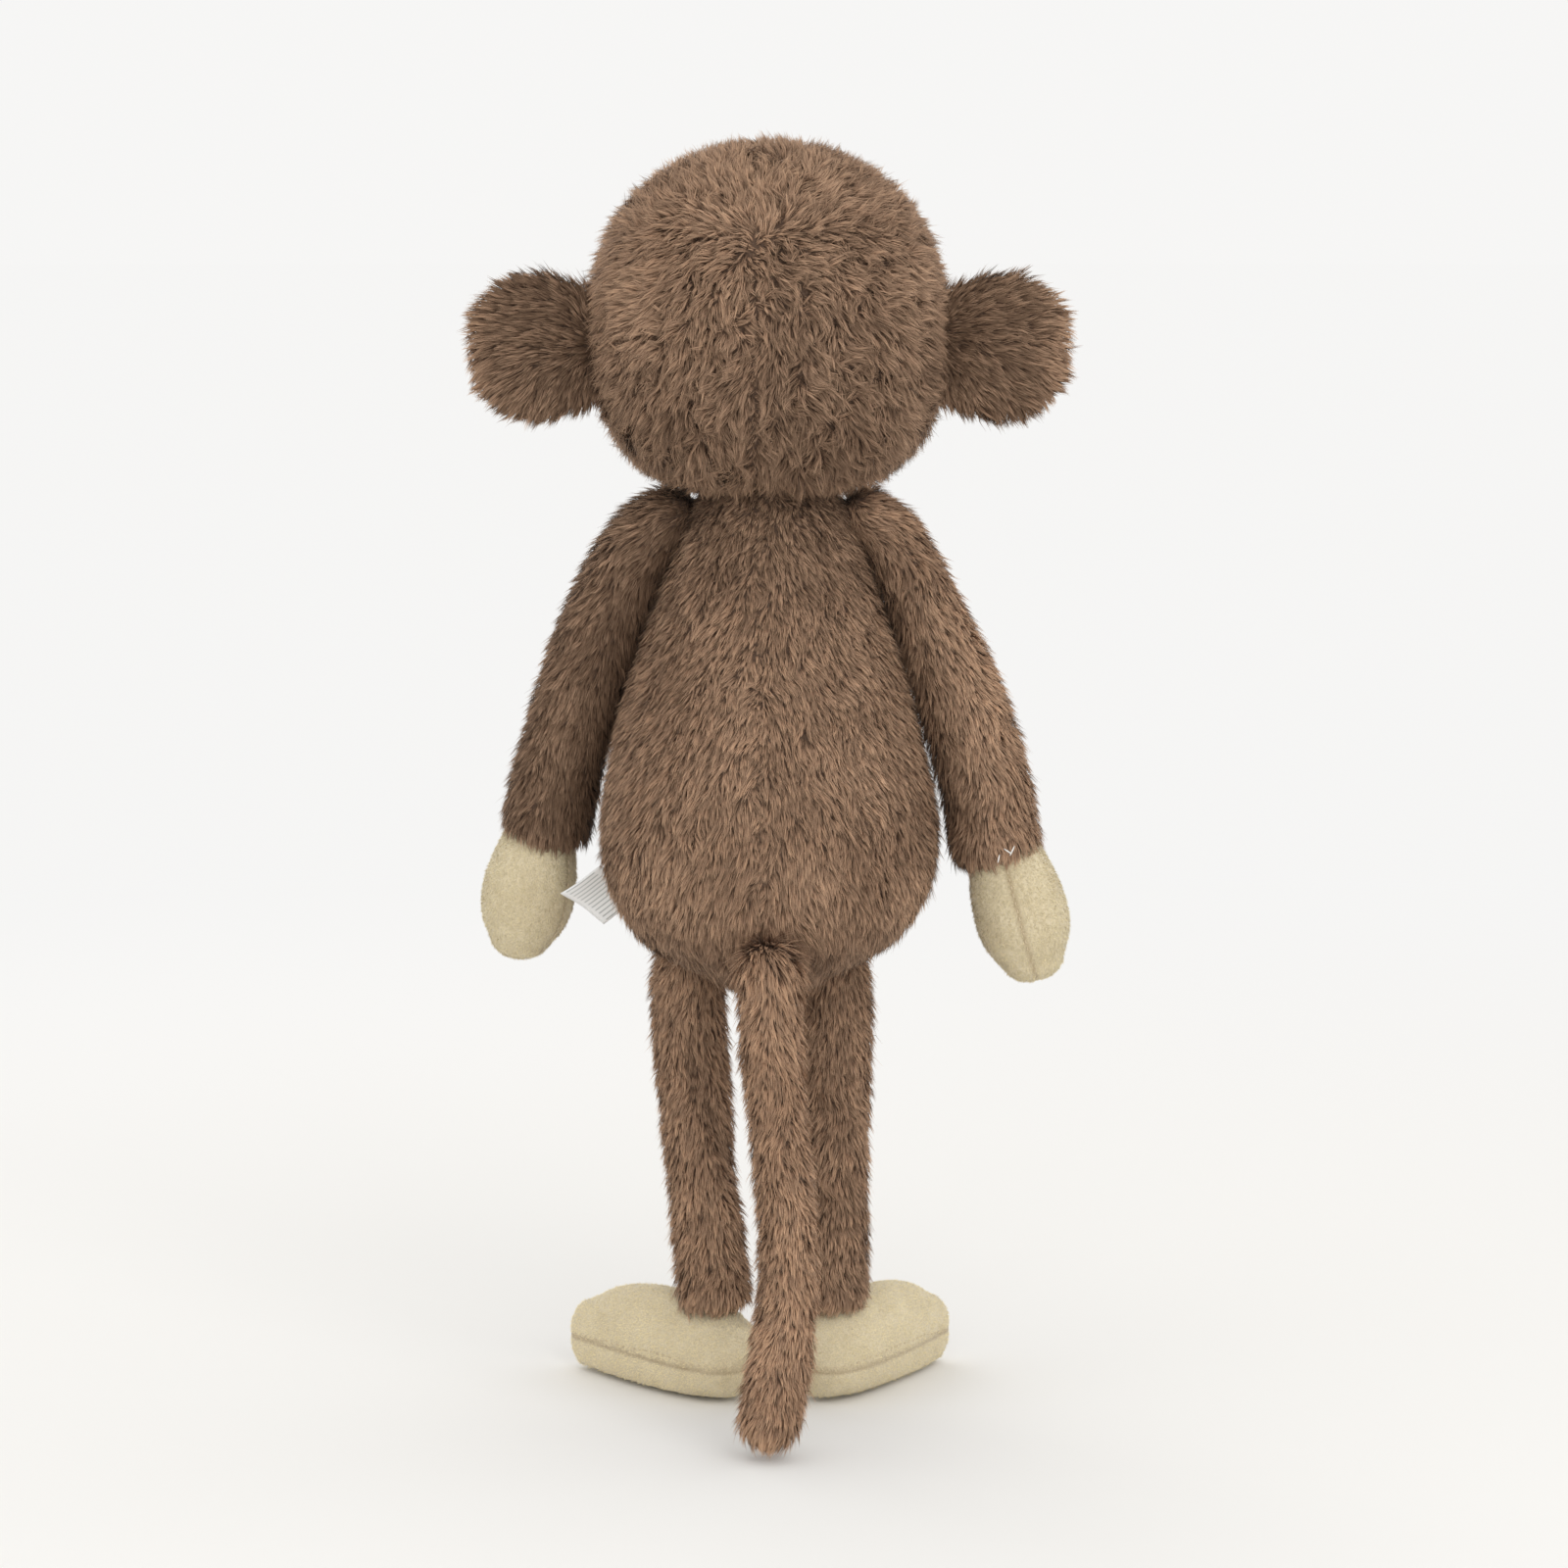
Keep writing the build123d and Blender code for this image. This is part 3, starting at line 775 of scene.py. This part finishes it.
TAIL_SHAPE = (
    (0, 50, 159, 8.6, 8.6),
    (-0.5, 54, 140, 8.6, 8.6),
    (-2.5, 58, 112, 8.4, 8.4),
    (-5.2, 62, 84, 8.4, 8.4),
    (-6.0, 66, 56, 8.3, 8.3),
    (-3.5, 70, 32, 8.8, 8.8),
    (-0.5, 72, 13.5, 8.8, 8.8),
)
tail = loft("tail_cloth", TAIL_SHAPE, BACKING, rings=60, around=36, domes=(1, 0.9))
stuffed(tail, nowhere, voxel=2.4, fill=0.6, swell=0.7, seed=23)

muzzle = loft(
    "muzzle_cloth",
    (
        (-12, -57, 349, 21.2, 20.4),
        (-5, -58, 348.5, 22.2, 21.4),
        (5, -58, 348.5, 22.2, 21.4),
        (12, -57, 349, 21.2, 20.4),
    ),
    VELOUR,
    rings=20,
    around=56,
    domes=(0.85, 0.85),
)


def muzzle_seam(points):
    """Distance to the seam that shapes the muzzle, below the nose."""
    between = (points[:, 1] < -0.058) & (points[:, 2] > 0.341)
    return np.where(between, np.abs(points[:, 0]), 1)


stuffed(muzzle, muzzle_seam, voxel=2.4, fill=0.85, swell=0.8, lumps=0.4, seed=29)

blow_up()



def dress(made, slot_name, *nodes):
    """Hides the CAD nodes that a form stands in for."""
    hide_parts(*nodes)


BODY_NODES = ("body_back_left", "body_back_right", "body_belly", "body_stuffing", "neck_stuffing")
dress(body, "fur", *BODY_NODES)
dress(head, "fur", "head_back_left", "head_back_right", "head_front", "head_stuffing")
dress(tail, "fur", "tail_sleeve", "tail_stuffing")
dress(muzzle, "velour", "muzzle_cover", "muzzle_stuffing")
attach(body, "torso")
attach(head, "head")
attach(tail, "tail")
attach(muzzle, "head")
for side in SIDES:
    dress(ears[side], "fur", f"ear_{side}_back", f"ear_{side}_batting")
    dress(arms[side], "fur", f"arm_{side}_sleeve", f"arm_{side}_stuffing")
    dress(legs[side], "fur", f"leg_{side}_sleeve", f"leg_{side}_stuffing")
    hand_nodes = (f"hand_{side}_{piece}" for piece in ("back", "palm", "stuffing"))
    dress(hands[side], "velour", *hand_nodes)
    foot_nodes = (f"foot_{side}_{piece}" for piece in ("upper", "sole", "pellets"))
    dress(feet[side], "velour", *foot_nodes)
    for part, made in (("arm", arms), ("hand", hands), ("leg", legs), ("foot", feet)):
        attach(made[side], f"{part}_{side}")


# Fur


def scatter(skin, gap, seed):
    """Random places on a skin, about one to each gap x gap, with their normals."""
    rng = np.random.default_rng(seed)
    mesh = skin.data
    mesh.calc_loop_triangles()
    corners = np.empty(len(mesh.loop_triangles) * 3, int)
    mesh.loop_triangles.foreach_get("vertices", corners)
    corners = corners.reshape(-1, 3)
    points, normals = positions(mesh), positions(mesh, "normal")
    a, b, c = (points[corners[:, k]] for k in range(3))
    areas = np.linalg.norm(np.cross(b - a, c - a), axis=1) / 2
    count = int(areas.sum() / (gap * MM) ** 2 * 2.2)
    chosen = rng.choice(len(areas), count, p=areas / areas.sum())
    u, v = rng.random(count), rng.random(count)
    over = u + v > 1
    u[over], v[over] = 1 - u[over], 1 - v[over]
    weights = np.stack([1 - u - v, u, v], axis=1)[:, :, None]
    spots = (points[corners[chosen]] * weights).sum(axis=1)
    facing = unit((normals[corners[chosen]] * weights).sum(axis=1))
    cells = np.floor(spots / (gap * MM) + 0.5 + 4096).astype(np.int64)
    _, kept = np.unique(cells @ np.array([1, 1 << 16, 1 << 32]), return_index=True)
    kept = np.sort(kept)
    return spots[kept], facing[kept]


def comb(spots, facing, flow, wander, seed):
    """The way each lock lies along the skin."""
    way = unit(flow(spots, facing)) + wander * drift(spots, 3, seed)
    way += 0.5 * wander * drift(spots, 1, seed + 1)
    way -= facing * (way * facing).sum(axis=1, keepdims=True)
    return unit(way)


def locks(name, spots, facing, ways, lengths, tones, lean, gap, fibres, width, seed):
    """Tapered fibres in locks whose tips draw together, as one mesh."""
    rng = np.random.default_rng(seed)
    n, m = len(spots), fibres
    across = np.cross(facing, ways)
    lean = np.radians(lean) * (1 + 0.35 * rng.normal(size=(n, 1, 1)).clip(-2, 2))
    length = lengths[:, None, None] * MM * (1 + 0.18 * rng.normal(size=(n, 1, 1)).clip(-2, 2))
    length = length * (0.82 + 0.36 * rng.random((n, m, 1)))
    radius = gap * MM * 0.85 * np.sqrt(rng.random((n, m, 1)))
    angle = 2 * math.pi * rng.random((n, m, 1))
    f, w, s = facing[:, None, :], ways[:, None, :], across[:, None, :]
    offset = (w * np.cos(angle) + s * np.sin(angle)) * radius
    roots = spots[:, None, :] + offset - f * 0.3 * MM
    loose = (rng.random((n, m, 1)) < 0.10) * 1.0
    gather = 0.45 + 0.8 * loose
    lean = lean * (1 + 0.5 * loose)
    middles = roots - offset * (1 - gather) * 0.45
    middles = middles + (w * np.cos(lean * 1.45) + f * np.sin(lean * 1.45)) * length * 0.5
    tips = spots[:, None, :] + offset * gather + (w * np.cos(lean) + f * np.sin(lean)) * length
    tips = tips + rng.normal(size=(n, m, 3)) * 0.10 * MM
    axis = unit(tips - roots)
    flat = unit(np.cross(axis, np.broadcast_to(f, axis.shape)))
    rise = np.cross(flat, axis)
    roll = rng.uniform(-0.9, 0.9, (n, m, 1))
    flat = flat * np.cos(roll) + rise * np.sin(roll)
    half = width * MM / 2 * (0.75 + 0.5 * rng.random((n, m, 1)))
    low, high = flat * half, flat * half * 0.85
    rows = [roots - low, roots + low, middles - high, middles + high, tips]
    points = np.stack(rows, axis=2).reshape(-1, 3)
    base = np.arange(n * m)[:, None] * 5
    corners = (base + np.array([[0, 1, 3, 0, 3, 2, 2, 3, 4]])).ravel()
    mesh = bpy.data.meshes.new(name)
    mesh.vertices.add(len(points))
    mesh.vertices.foreach_set("co", points.astype(np.float32).ravel())
    mesh.loops.add(len(corners))
    mesh.loops.foreach_set("vertex_index", corners.astype(np.int32))
    mesh.polygons.add(len(corners) // 3)
    mesh.polygons.foreach_set("loop_start", np.arange(0, len(corners), 3, dtype=np.int32))
    mesh.update(calc_edges=True)
    mesh.validate()
    store(mesh, "tip", np.tile([0, 0, 0.5, 0.5, 1], n * m))
    shade = np.repeat(rng.random(n) * 0.75 + tones, m) + rng.random(n * m) * 0.25
    store(mesh, "lock", np.repeat(shade, 5))
    cells = math.ceil(math.sqrt(n))
    number = np.repeat(np.arange(n), m * 9)
    u = np.tile([0.15, 0.85, 0.85, 0.15, 0.85, 0.15, 0.15, 0.85, 0.5], n * m)
    v = np.tile([0.1, 0.1, 0.5, 0.1, 0.5, 0.5, 0.5, 0.5, 0.9], n * m)
    uv = mesh.uv_layers.new(name="OFBake")
    grid = np.stack([(number % cells + u) / cells, (number // cells + v) / cells], axis=1)
    uv.data.foreach_set("uv", grid.astype(np.float32).ravel())
    facing_out = unit(0.65 * np.broadcast_to(f, axis.shape) + 0.35 * np.cross(axis, flat) * -1)
    mesh.normals_split_custom_set_from_vertices(np.repeat(facing_out.reshape(-1, 3), 5, axis=0))
    made = bpy.data.objects.new(name, mesh)
    bpy.context.collection.objects.link(made)
    return made


def grow(
    skin, panels, flow, length, rides, lean=26, gap=1.12, fibres=6, width=0.27, wander=0.6,
    tone=0.0, material=FUR, seed=1,
):
    """Fur over a skin, one mesh for each named panel, riding on the named body if there is one.

    length gives each place's millimetres, and tone how much paler than usual its locks are, which in
    places is painted light and shade.
    """
    spots, facing = scatter(skin, gap, seed)
    ways = comb(spots, facing, flow, wander, seed + 50)
    lengths = length(spots)
    tones = tone(spots) if callable(tone) else np.full(len(spots), tone)
    made = {}
    for number, (name, inside) in enumerate(panels.items()):
        kept = inside(spots) & (lengths > 0.5)
        chosen = (rows[kept] for rows in (spots, facing, ways, lengths, tones))
        made[name] = locks(name, *chosen, lean, gap, fibres, width, seed + number)
        made[name].data.materials.append(material)
        if rides:
            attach(made[name], rides)
    return made


def back_panels(prefix, seam_x, seam_y, front):
    """The panels that the middle and side seams part."""
    return {
        f"{prefix}_back_left_fur": lambda p: (p[:, 1] > seam_y) & (p[:, 0] > seam_x),
        f"{prefix}_back_right_fur": lambda p: (p[:, 1] > seam_y) & (p[:, 0] <= seam_x),
        front: lambda p: p[:, 1] <= seam_y,
    }


TAIL_ROOT = place(0, 50, 162)
WHORL = place(6, 52, 398)


def body_flow(spots, facing):
    """Down the body, away from the puckers, and over the root of the tail."""
    way = np.tile(DOWN, (len(spots), 1)) + 0.12 * np.sign(spots[:, :1]) * np.array([1.0, 0, 0])
    swirls = [(place(3, 44, level), 1.3, 6) for level in PUCKERS] + [(TAIL_ROOT, 0.7, 14)]
    for centre, strength, width in swirls:
        apart = spots - centre
        way += strength * unit(apart) * near(np.linalg.norm(apart, axis=1), width)[:, None]
    under = near(spots[:, 2] - 0.148, 10)[:, None] * unit(spots * np.array([1, 1, 0]))
    return way - 0.4 * under


def body_length(spots):
    """Shorter in the seams, longer by the tail."""
    seam_trim = 1 - 0.35 * near(body_seams(spots), 1.6)
    tail_tuft = 1 + 0.45 * near(np.linalg.norm(spots - TAIL_ROOT, axis=1), 14)
    return 4.6 * seam_trim * tail_tuft


def head_flow(spots, facing):
    """Out from the whorl at the back, and down."""
    apart = spots - WHORL
    spin = np.cross(facing, unit(apart)) * near(np.linalg.norm(apart, axis=1), 22)[:, None]
    beside = spots[:, :1] - HEAD_SEAM_X
    parting = np.sign(beside) * near(beside, 2.5) * (spots[:, 2:] < WHORL[2]) * (spots[:, 1:2] > 0)
    way = unit(apart) + 0.3 * spin + 0.45 * DOWN * (spots[:, 2:] < 0.40)
    return way + 0.8 * parting * np.array([1.0, 0, 0])


FACE_MIDDLE = np.array([0.0, 363.0])
BROW = (16.0, 20.0)
BROW_R = 18.5
CHEEK = (34.5, 28.5, 10.0)


def face_outline(angle):
    """How far the velour face reaches from its middle, in mm, at an angle from straight up."""
    across, up = np.abs(np.sin(angle)), np.cos(angle)
    toward = BROW[0] * across + BROW[1] * up
    past = BROW_R**2 - (BROW[0] * up - BROW[1] * across) ** 2
    brow = np.where((past > 0) & (toward > 0), toward + np.sqrt(np.maximum(past, 0)), 1.0)
    wide, tall, drop = CHEEK
    square = (across / wide) ** 2 + (up / tall) ** 2
    half = drop * up / tall**2
    cheek = (-half + np.sqrt(half**2 - square * ((drop / tall) ** 2 - 1))) / square
    return (brow**16 + cheek**16) ** (1 / 16)


def face_gap(spots):
    """How far places lie inside the edge of the velour face, in mm."""
    x, z = spots[:, 0] / MM - FACE_MIDDLE[0], spots[:, 2] / MM - FACE_MIDDLE[1]
    return face_outline(np.arctan2(x, z)) - np.hypot(x, z)


def inside_face(spots, margin):
    """Which places lie under the velour face, or within a margin round it."""
    return (spots[:, 1] < 0) & (face_gap(spots) > -margin)


def head_length(spots):
    """Shaggy at the crown, shorter in the seams, none under the face."""
    seam_trim = 1 - 0.55 * near(head_seams(spots), 1.4)
    bare = inside_face(spots, -1.0)
    by_face = 1 - 0.3 * inside_face(spots, 5.0)
    return np.where(bare, 0, 5.4 * seam_trim * by_face)


def body_painted_shade(spots):
    """Painted shade round the bottom and under the head."""
    return -0.4 * near(spots[:, 2] - 0.148, 22) - 0.25 * near(spots[:, 2] - 0.305, 22)


def head_painted_shade(spots):
    """Painted shade toward the neck, and a little darker on the right."""
    return -0.3 * np.clip((0.385 - spots[:, 2]) / 0.06, 0, 1) - 0.1 * (spots[:, 0] < 0)


panels = back_panels("body", BODY_SEAM_X, SIDE_SEAM_Y, "body_belly_fur")
grow(body, panels, body_flow, body_length, "torso", tone=body_painted_shade, seed=101)
panels = back_panels("head", HEAD_SEAM_X, EAR_SEAM_Y, "head_front_fur")
looks = {"lean": 38, "wander": 1.5, "tone": head_painted_shade}
grow(head, panels, head_flow, head_length, "head", **looks, seed=201)


def path_flow(stations):
    """Along a limb, from its first station to its last."""
    rows = curve(stations, 40)[:, :3] * MM
    steps = unit(np.gradient(rows, axis=0))

    def flow(spots, facing):
        nearest = np.argmin(((spots[:, None, :] - rows[None]) ** 2).sum(axis=2), axis=1)
        return steps[nearest]

    return flow


def everywhere(spots):
    """All of a skin."""
    return np.ones(len(spots), bool)


def fold_ear(made):
    """Bakes a piece of an ear's placement into its mesh."""
    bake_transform(made)


# Painted shade on the arms: the left arm darker all over, and each arm darker on its inner side by the
# body, paler to the outside.
ARM_PAINTED_SHADE = {"left": -0.48, "right": 0.0}
for side, sign in SIDES.items():
    cuff = joint_place[f"wrist_{side}_flex"]
    flow = path_flow(arm_paths[side])
    end_way = flow(cuff[None], None)[0] + {"left": 0.35, "right": 0}[side] * np.array([1.0, 0, 0])
    grow(
        arms[side], {f"arm_{side}_fur": everywhere}, flow,
        lambda p: np.where((p - cuff) @ end_way > 0.0035, 0, 4.8), f"arm_{side}",
        # tone here is painted shade, darkest on the inner side by the body.
        tone=lambda p: ARM_PAINTED_SHADE[side] + 0.025 * outward(p, side).clip(-12, 5), seed=301 + sign,
    )

    hem = joint_place[f"ankle_{side}_tilt"][2] + 0.006
    grow(
        legs[side], {f"leg_{side}_fur": everywhere},
        lambda p, f: np.tile(DOWN, (len(p), 1)) + 0.05 * f,
        lambda p: np.where(p[:, 2] < hem, 0, 4.6), f"leg_{side}",
        # tone here paints shade along the crease of the left leg.
        tone=lambda p: 0.10 + (0.16 * leg_crease(p) if side == "left" else -0.10 + 0 * p[:, 0]),
        seed=351 + sign,
    )

    base = place(sign * 54, 2, 361)
    made = grow(
        ears[side], {f"ear_{side}_fur": lambda p: (p[:, 1] > 0.0) & (np.abs(p[:, 0]) > 0.053)},
        lambda p, f: unit(p - base) + 0.35 * DOWN, lambda p: np.full(len(p), 5.4), None, lean=30,
        # tone here is painted shade over the ear, lifted to a painted rim of light at its outer edge.
        tone=lambda p: -0.36 + 0.45 * near(np.abs(p[:, 0]) - 0.099, 9), seed=401 + sign,
    )
    fold_ear(made[f"ear_{side}_fur"])
    fold_ear(ears[side])

grow(
    tail, {"tail_fur": everywhere}, path_flow(TAIL_SHAPE),
    lambda p: 4.6 + 2.4 * near(p[:, 2] - 0.165, 14) + 1.2 * near(p[:, 2] - 0.008, 10), "tail",
    tone=0.28, seed=451,
)


# Nap on the hands and feet

NAP_LOOKS = {"fibres": 4, "wander": 0.9, "material": NAP}
# Paler nap on the feet; the left foot's extra paleness is painted light over the shade that falls on
# it.
FOOT_TONE_AND_PAINTED_LIGHT = {"left": 0.7, "right": 0.35}
for side in SIDES:
    wrist, down, _ = hand_axis(side)
    seam_gap = hand_seam(side)
    grow(
        hands[side], {f"hand_{side}_nap": everywhere}, lambda p, f: np.tile(down, (len(p), 1)),
        lambda p: np.where((p - wrist) @ down < -0.001, 0, 1 - 0.5 * near(seam_gap(p), 0.8)),
        f"hand_{side}", lean=34, gap=0.7, width=0.14, seed=501, **NAP_LOOKS,
    )
    ankle, ahead = foot_frame(side)
    grow(
        feet[side], {f"foot_{side}_nap": everywhere},
        lambda p, f: np.tile(ahead - 0.3 * UP, (len(p), 1)),
        lambda p: np.where(p[:, 2] < 0.002, 0, 0.9 * (1 - 0.6 * near(foot_seam(p), 0.8))),
        f"foot_{side}", lean=30, gap=0.85, width=0.15, tone=FOOT_TONE_AND_PAINTED_LIGHT[side], seed=521,
        **NAP_LOOKS,
    )


# Ear linings


def fan(name, outline, rings, surface, material):
    """A sheet from a middle point out to an outline in the XZ plane, in mm. surface gives its Y."""
    around = len(outline)
    middle = outline.mean(axis=0)
    steps = range(1, rings + 1)
    vertices = [middle + (edge - middle) * (ring / rings) for ring in steps for edge in outline]
    flat = np.array([middle] + vertices)
    points = np.stack([flat[:, 0], surface(flat), flat[:, 1]], axis=1) * MM
    faces = [(0, 1 + step, 1 + (step + 1) % around) for step in range(around)]
    for ring in range(rings - 1):
        low, high = 1 + ring * around, 1 + (ring + 1) * around
        for step in range(around):
            after = (step + 1) % around
            faces.append((low + step, high + step, high + after, low + after))
    made = new_object(name, points, faces, material)
    shade_smooth(made)
    return made


def thicken(made, thickness):
    """Gives a sheet its thickness, inward."""
    solid = made.modifiers.new("solid", "SOLIDIFY")
    solid.thickness = thickness * MM
    solid.offset = -1
    apply_modifiers(made)
    shade_smooth(made)


angles = np.linspace(0, 2 * math.pi, 72, endpoint=False)
for side, sign in SIDES.items():
    middle = np.array([sign * 77.0, 361.0])
    outline = middle + np.stack([19.0 * np.cos(angles), 20.5 * np.sin(angles)], axis=1)
    outline[:, 0] = sign * np.maximum(np.abs(outline[:, 0]), 61.5)

    def ear_front(flat):
        """A shallow cushion that faces forward."""
        reach = np.hypot(flat[:, 0] - middle[0], flat[:, 1] - middle[1]) / 20.5
        return -3.4 - 1.0 * (1 - reach**2).clip(0) + 2.0 * reach**6

    lining = fan(f"ear_{side}_lining_cloth", outline, 12, ear_front, VELOUR)
    thicken(lining, 0.8)
    store(lining.data, "seam", near(positions(lining.data)[:, 1], 1.2) * 0.5)
    dress(lining, "velour", f"ear_{side}_lining")
    fold_ear(lining)


# Face

face_angles = np.linspace(-math.pi, math.pi, 120, endpoint=False)
reach = face_outline(face_angles)
face_edge = FACE_MIDDLE + (reach * [np.sin(face_angles), np.cos(face_angles)]).T


def head_front(flat):
    """The front of the head under a point of the face, a little puffed out."""
    x, z = flat[:, 0], flat[:, 1] - HEAD[2]
    across, deep, up, down = HEAD_SIZE
    power = np.where(z > 0, *HEAD_SQUARENESS)
    level = (1 - (np.abs(z) / np.where(z > 0, up, down)) ** power) ** (1 / power)
    return -deep * np.sqrt(np.maximum(level**2 - (x / across) ** 2, 0.02)) - 2.2


face = fan("face_cloth", face_edge[::-1], 26, head_front, VELOUR)
thicken(face, 1.6)
edge_gap = face_gap(positions(face.data)) * MM
# Painted shade along the sunken edge of the face, through the seam attribute.
store(face.data, "seam", near(edge_gap, 1.2))
dent(face, lambda p: -1.2 * near(edge_gap, 1.6))
dress(face, "velour", "face_panel")
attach(face, "head")

NOSE_MIDDLE, NOSE_SIZE = (0, -81.2, 358.6), (8.6, 4.6, 5.6, 5.6)
nose = globe("nose_cloth_form", NOSE_MIDDLE, NOSE_SIZE, (2.3, 2.3), NOSE, rings=24, around=48)
spots = positions(nose.data)
drop = (spots[:, 2] / MM - NOSE_MIDDLE[2]) / NOSE_SIZE[2]
spots[:, 0] *= 1 + 0.28 * drop
spots[:, 1] += drop * 1.6 * MM
set_positions(nose.data, spots)
even_mesh(nose, 0.7)
dress(nose, "nose_cloth", "nose")
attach(nose, "head")


def thread_run(name, path, radius, material, body_name):
    """Stitches along a path of starts, ends and outward ways, dipping into the cloth between."""
    vertices, faces = [], []
    ring, steps = 8, 6
    for start, end, out in path:
        way = end - start
        side = unit(np.cross(way, out))
        rise = unit(np.cross(side, way))
        first = len(vertices)
        for step in range(steps + 1):
            t = step / steps
            swell = math.sin(math.pi * min(max(t, 0.06), 0.94)) ** 0.5
            centre = start + way * t + rise * radius * MM * 0.8 * swell
            for k in range(ring):
                a = 2 * math.pi * k / ring
                round_it = side * math.cos(a) + rise * math.sin(a)
                vertices.append(centre + round_it * radius * MM * swell)
        for step in range(steps):
            for k in range(ring):
                low, high = first + step * ring, first + (step + 1) * ring
                faces.append((low + k, low + (k + 1) % ring, high + (k + 1) % ring, high + k))
        faces.append(tuple(first + k for k in reversed(range(ring))))
        faces.append(tuple(first + steps * ring + k for k in range(ring)))
    made = new_object(name, vertices, faces, material)
    shade_smooth(made)
    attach(made, body_name)
    return made


def on_skin(skin, point):
    """The nearest place on a skin to a point in metres, and its outward normal there."""
    local = skin.matrix_world.inverted() @ Vector(point)
    _, spot, normal, _ = skin.closest_point_on_mesh(local)
    return np.array(skin.matrix_world @ spot), np.array(normal)


def stitches_on(skin, line, stitch, gap):
    """Stitches of one length, a gap apart, along a line of points on a skin."""
    points, normals = zip(*(on_skin(skin, p) for p in line))
    points, normals = np.array(points), np.array(normals)
    travelled = np.concatenate([[0], np.cumsum(np.linalg.norm(np.diff(points, axis=0), axis=1))])

    def at(rows, distance):
        return np.array([np.interp(distance, travelled, rows[:, k]) for k in range(3)])

    size = stitch * MM
    starts = np.arange(0, travelled[-1] - size, (stitch + gap) * MM)
    return [
        (at(points, s), at(points, s + size), unit(at(normals, s + size / 2))) for s in starts
    ]


bpy.context.view_layer.update()
mouth_line = [place(x, -90, 341.5 + 3.0 * (abs(x) / 21) ** 2) for x in np.linspace(-21, 21, 40)]
mouth_path = stitches_on(muzzle, mouth_line, 3.2, 0.3)
mouth = thread_run("mouth_thread", mouth_path, 0.55, BROWN_THREAD, "head")
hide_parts("mouth_stitch")

# Seam stitches on the hands and feet

for side in ("right", "left"):
    wrist, down, seam_way = hand_axis(side)
    line = [wrist + down * along * MM + seam_way * 20 * MM for along in np.linspace(4, 40, 40)]
    path = stitches_on(hands[side], line, 1.6, 1.1)
    thread_run(f"hand_{side}_seam", path, 0.22, THREAD, f"hand_{side}")
for side in SIDES:
    ankle, ahead = foot_frame(side)
    middle = ankle + ahead * 18 * MM
    line = []
    for angle in np.linspace(0, 2 * math.pi, 160):
        out = math.cos(angle) * ahead + math.sin(angle) * np.cross(ahead, UP)
        line.append(np.array([*(middle + out * 45 * MM)[:2], FOOT_SEAM_Z]))
    path = stitches_on(feet[side], line, 1.7, 1.5)
    thread_run(f"foot_{side}_seam", path, 0.22, THREAD, f"foot_{side}")

# Loose ends of white thread at the right cuff

cuff = joint_place["wrist_right_flex"]
ends = []
for x, z, dx, dz in ((-3, 3, 1.5, -3.2), (0.5, 2, -2.4, -1.5), (2, 0, 0.6, -2.6)):
    start = cuff + place(x, 15.5, z)
    ends.append((start, start + place(dx, 0.8, dz), np.array([0, 1.0, 0])))
thread_run("cuff_thread_ends", ends, 0.25, WHITE_THREAD, "arm_right")

# Stitches that close the back lie deep in the pile

back_line = [place(3, 60, level) for level in np.linspace(285, 225, 60)]
back_path = stitches_on(body, back_line, 3.0, 5.0)
closing = thread_run("back_closing_thread", back_path, 0.4, BROWN_THREAD, "torso")
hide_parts("back_closing_stitches")

# Care label: a satin ribbon that curls out of the side seam

LABEL_WIDTH, LABEL_LENGTH = 19, 21
label_low, label_high = (np.array(corner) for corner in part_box("care_label"))
label_middle = (label_low + label_high) / 2 + place(-1.8, -10.5, -1)
label_across = unit(np.array([-0.80, 0.45, 0.60]))
label_down = unit(np.array([-0.85, -0.45, -0.53]))
label_down = unit(label_down - label_across * (label_down @ label_across))
label_out = np.cross(label_across, label_down)
ROWS, COLUMNS = 24, 12
vertices, faces = [], []
for row in range(ROWS + 1):
    for column in range(COLUMNS + 1):
        s, t = (column / COLUMNS - 0.5) * LABEL_WIDTH, (row / ROWS - 0.5) * LABEL_LENGTH
        curl = 0.8 * math.cos(t / LABEL_LENGTH * 5) + 0.5 * math.sin(s / LABEL_WIDTH * 4 + t / 9)
        vertices.append(label_middle + (label_across * s + label_down * t + label_out * curl) * MM)
        if row < ROWS and column < COLUMNS:
            first = len(vertices) - 1
            faces.append((first, first + 1, first + COLUMNS + 2, first + COLUMNS + 1))
label = new_object("care_label_ribbon", vertices, faces, LABEL)
uv = label.data.uv_layers.new(name="OFBake")
for loop in label.data.loops:
    row, column = divmod(loop.vertex_index, COLUMNS + 1)
    uv.data[loop.index].uv = (column / COLUMNS, row / ROWS)
thicken(label, 0.25)
dress(label, "label_satin", "care_label")
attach(label, "torso")

# CAD pieces that are kept as they are

KEPT = {
    "eye_left": EYE,
    "eye_right": EYE,
    "eye_washer_left": WASHER,
    "eye_washer_right": WASHER,
    "pellet_bag": BAG,
    "pellet_fill": PELLETS,
    **{f"{part}_anchor_stitches": BROWN_THREAD for part in ("arm_left", "arm_right", "tail")},
}
for name, material in KEPT.items():
    for slot in frame["nodes"][name].material_slots:
        slot.link = "OBJECT"
        slot.material = material
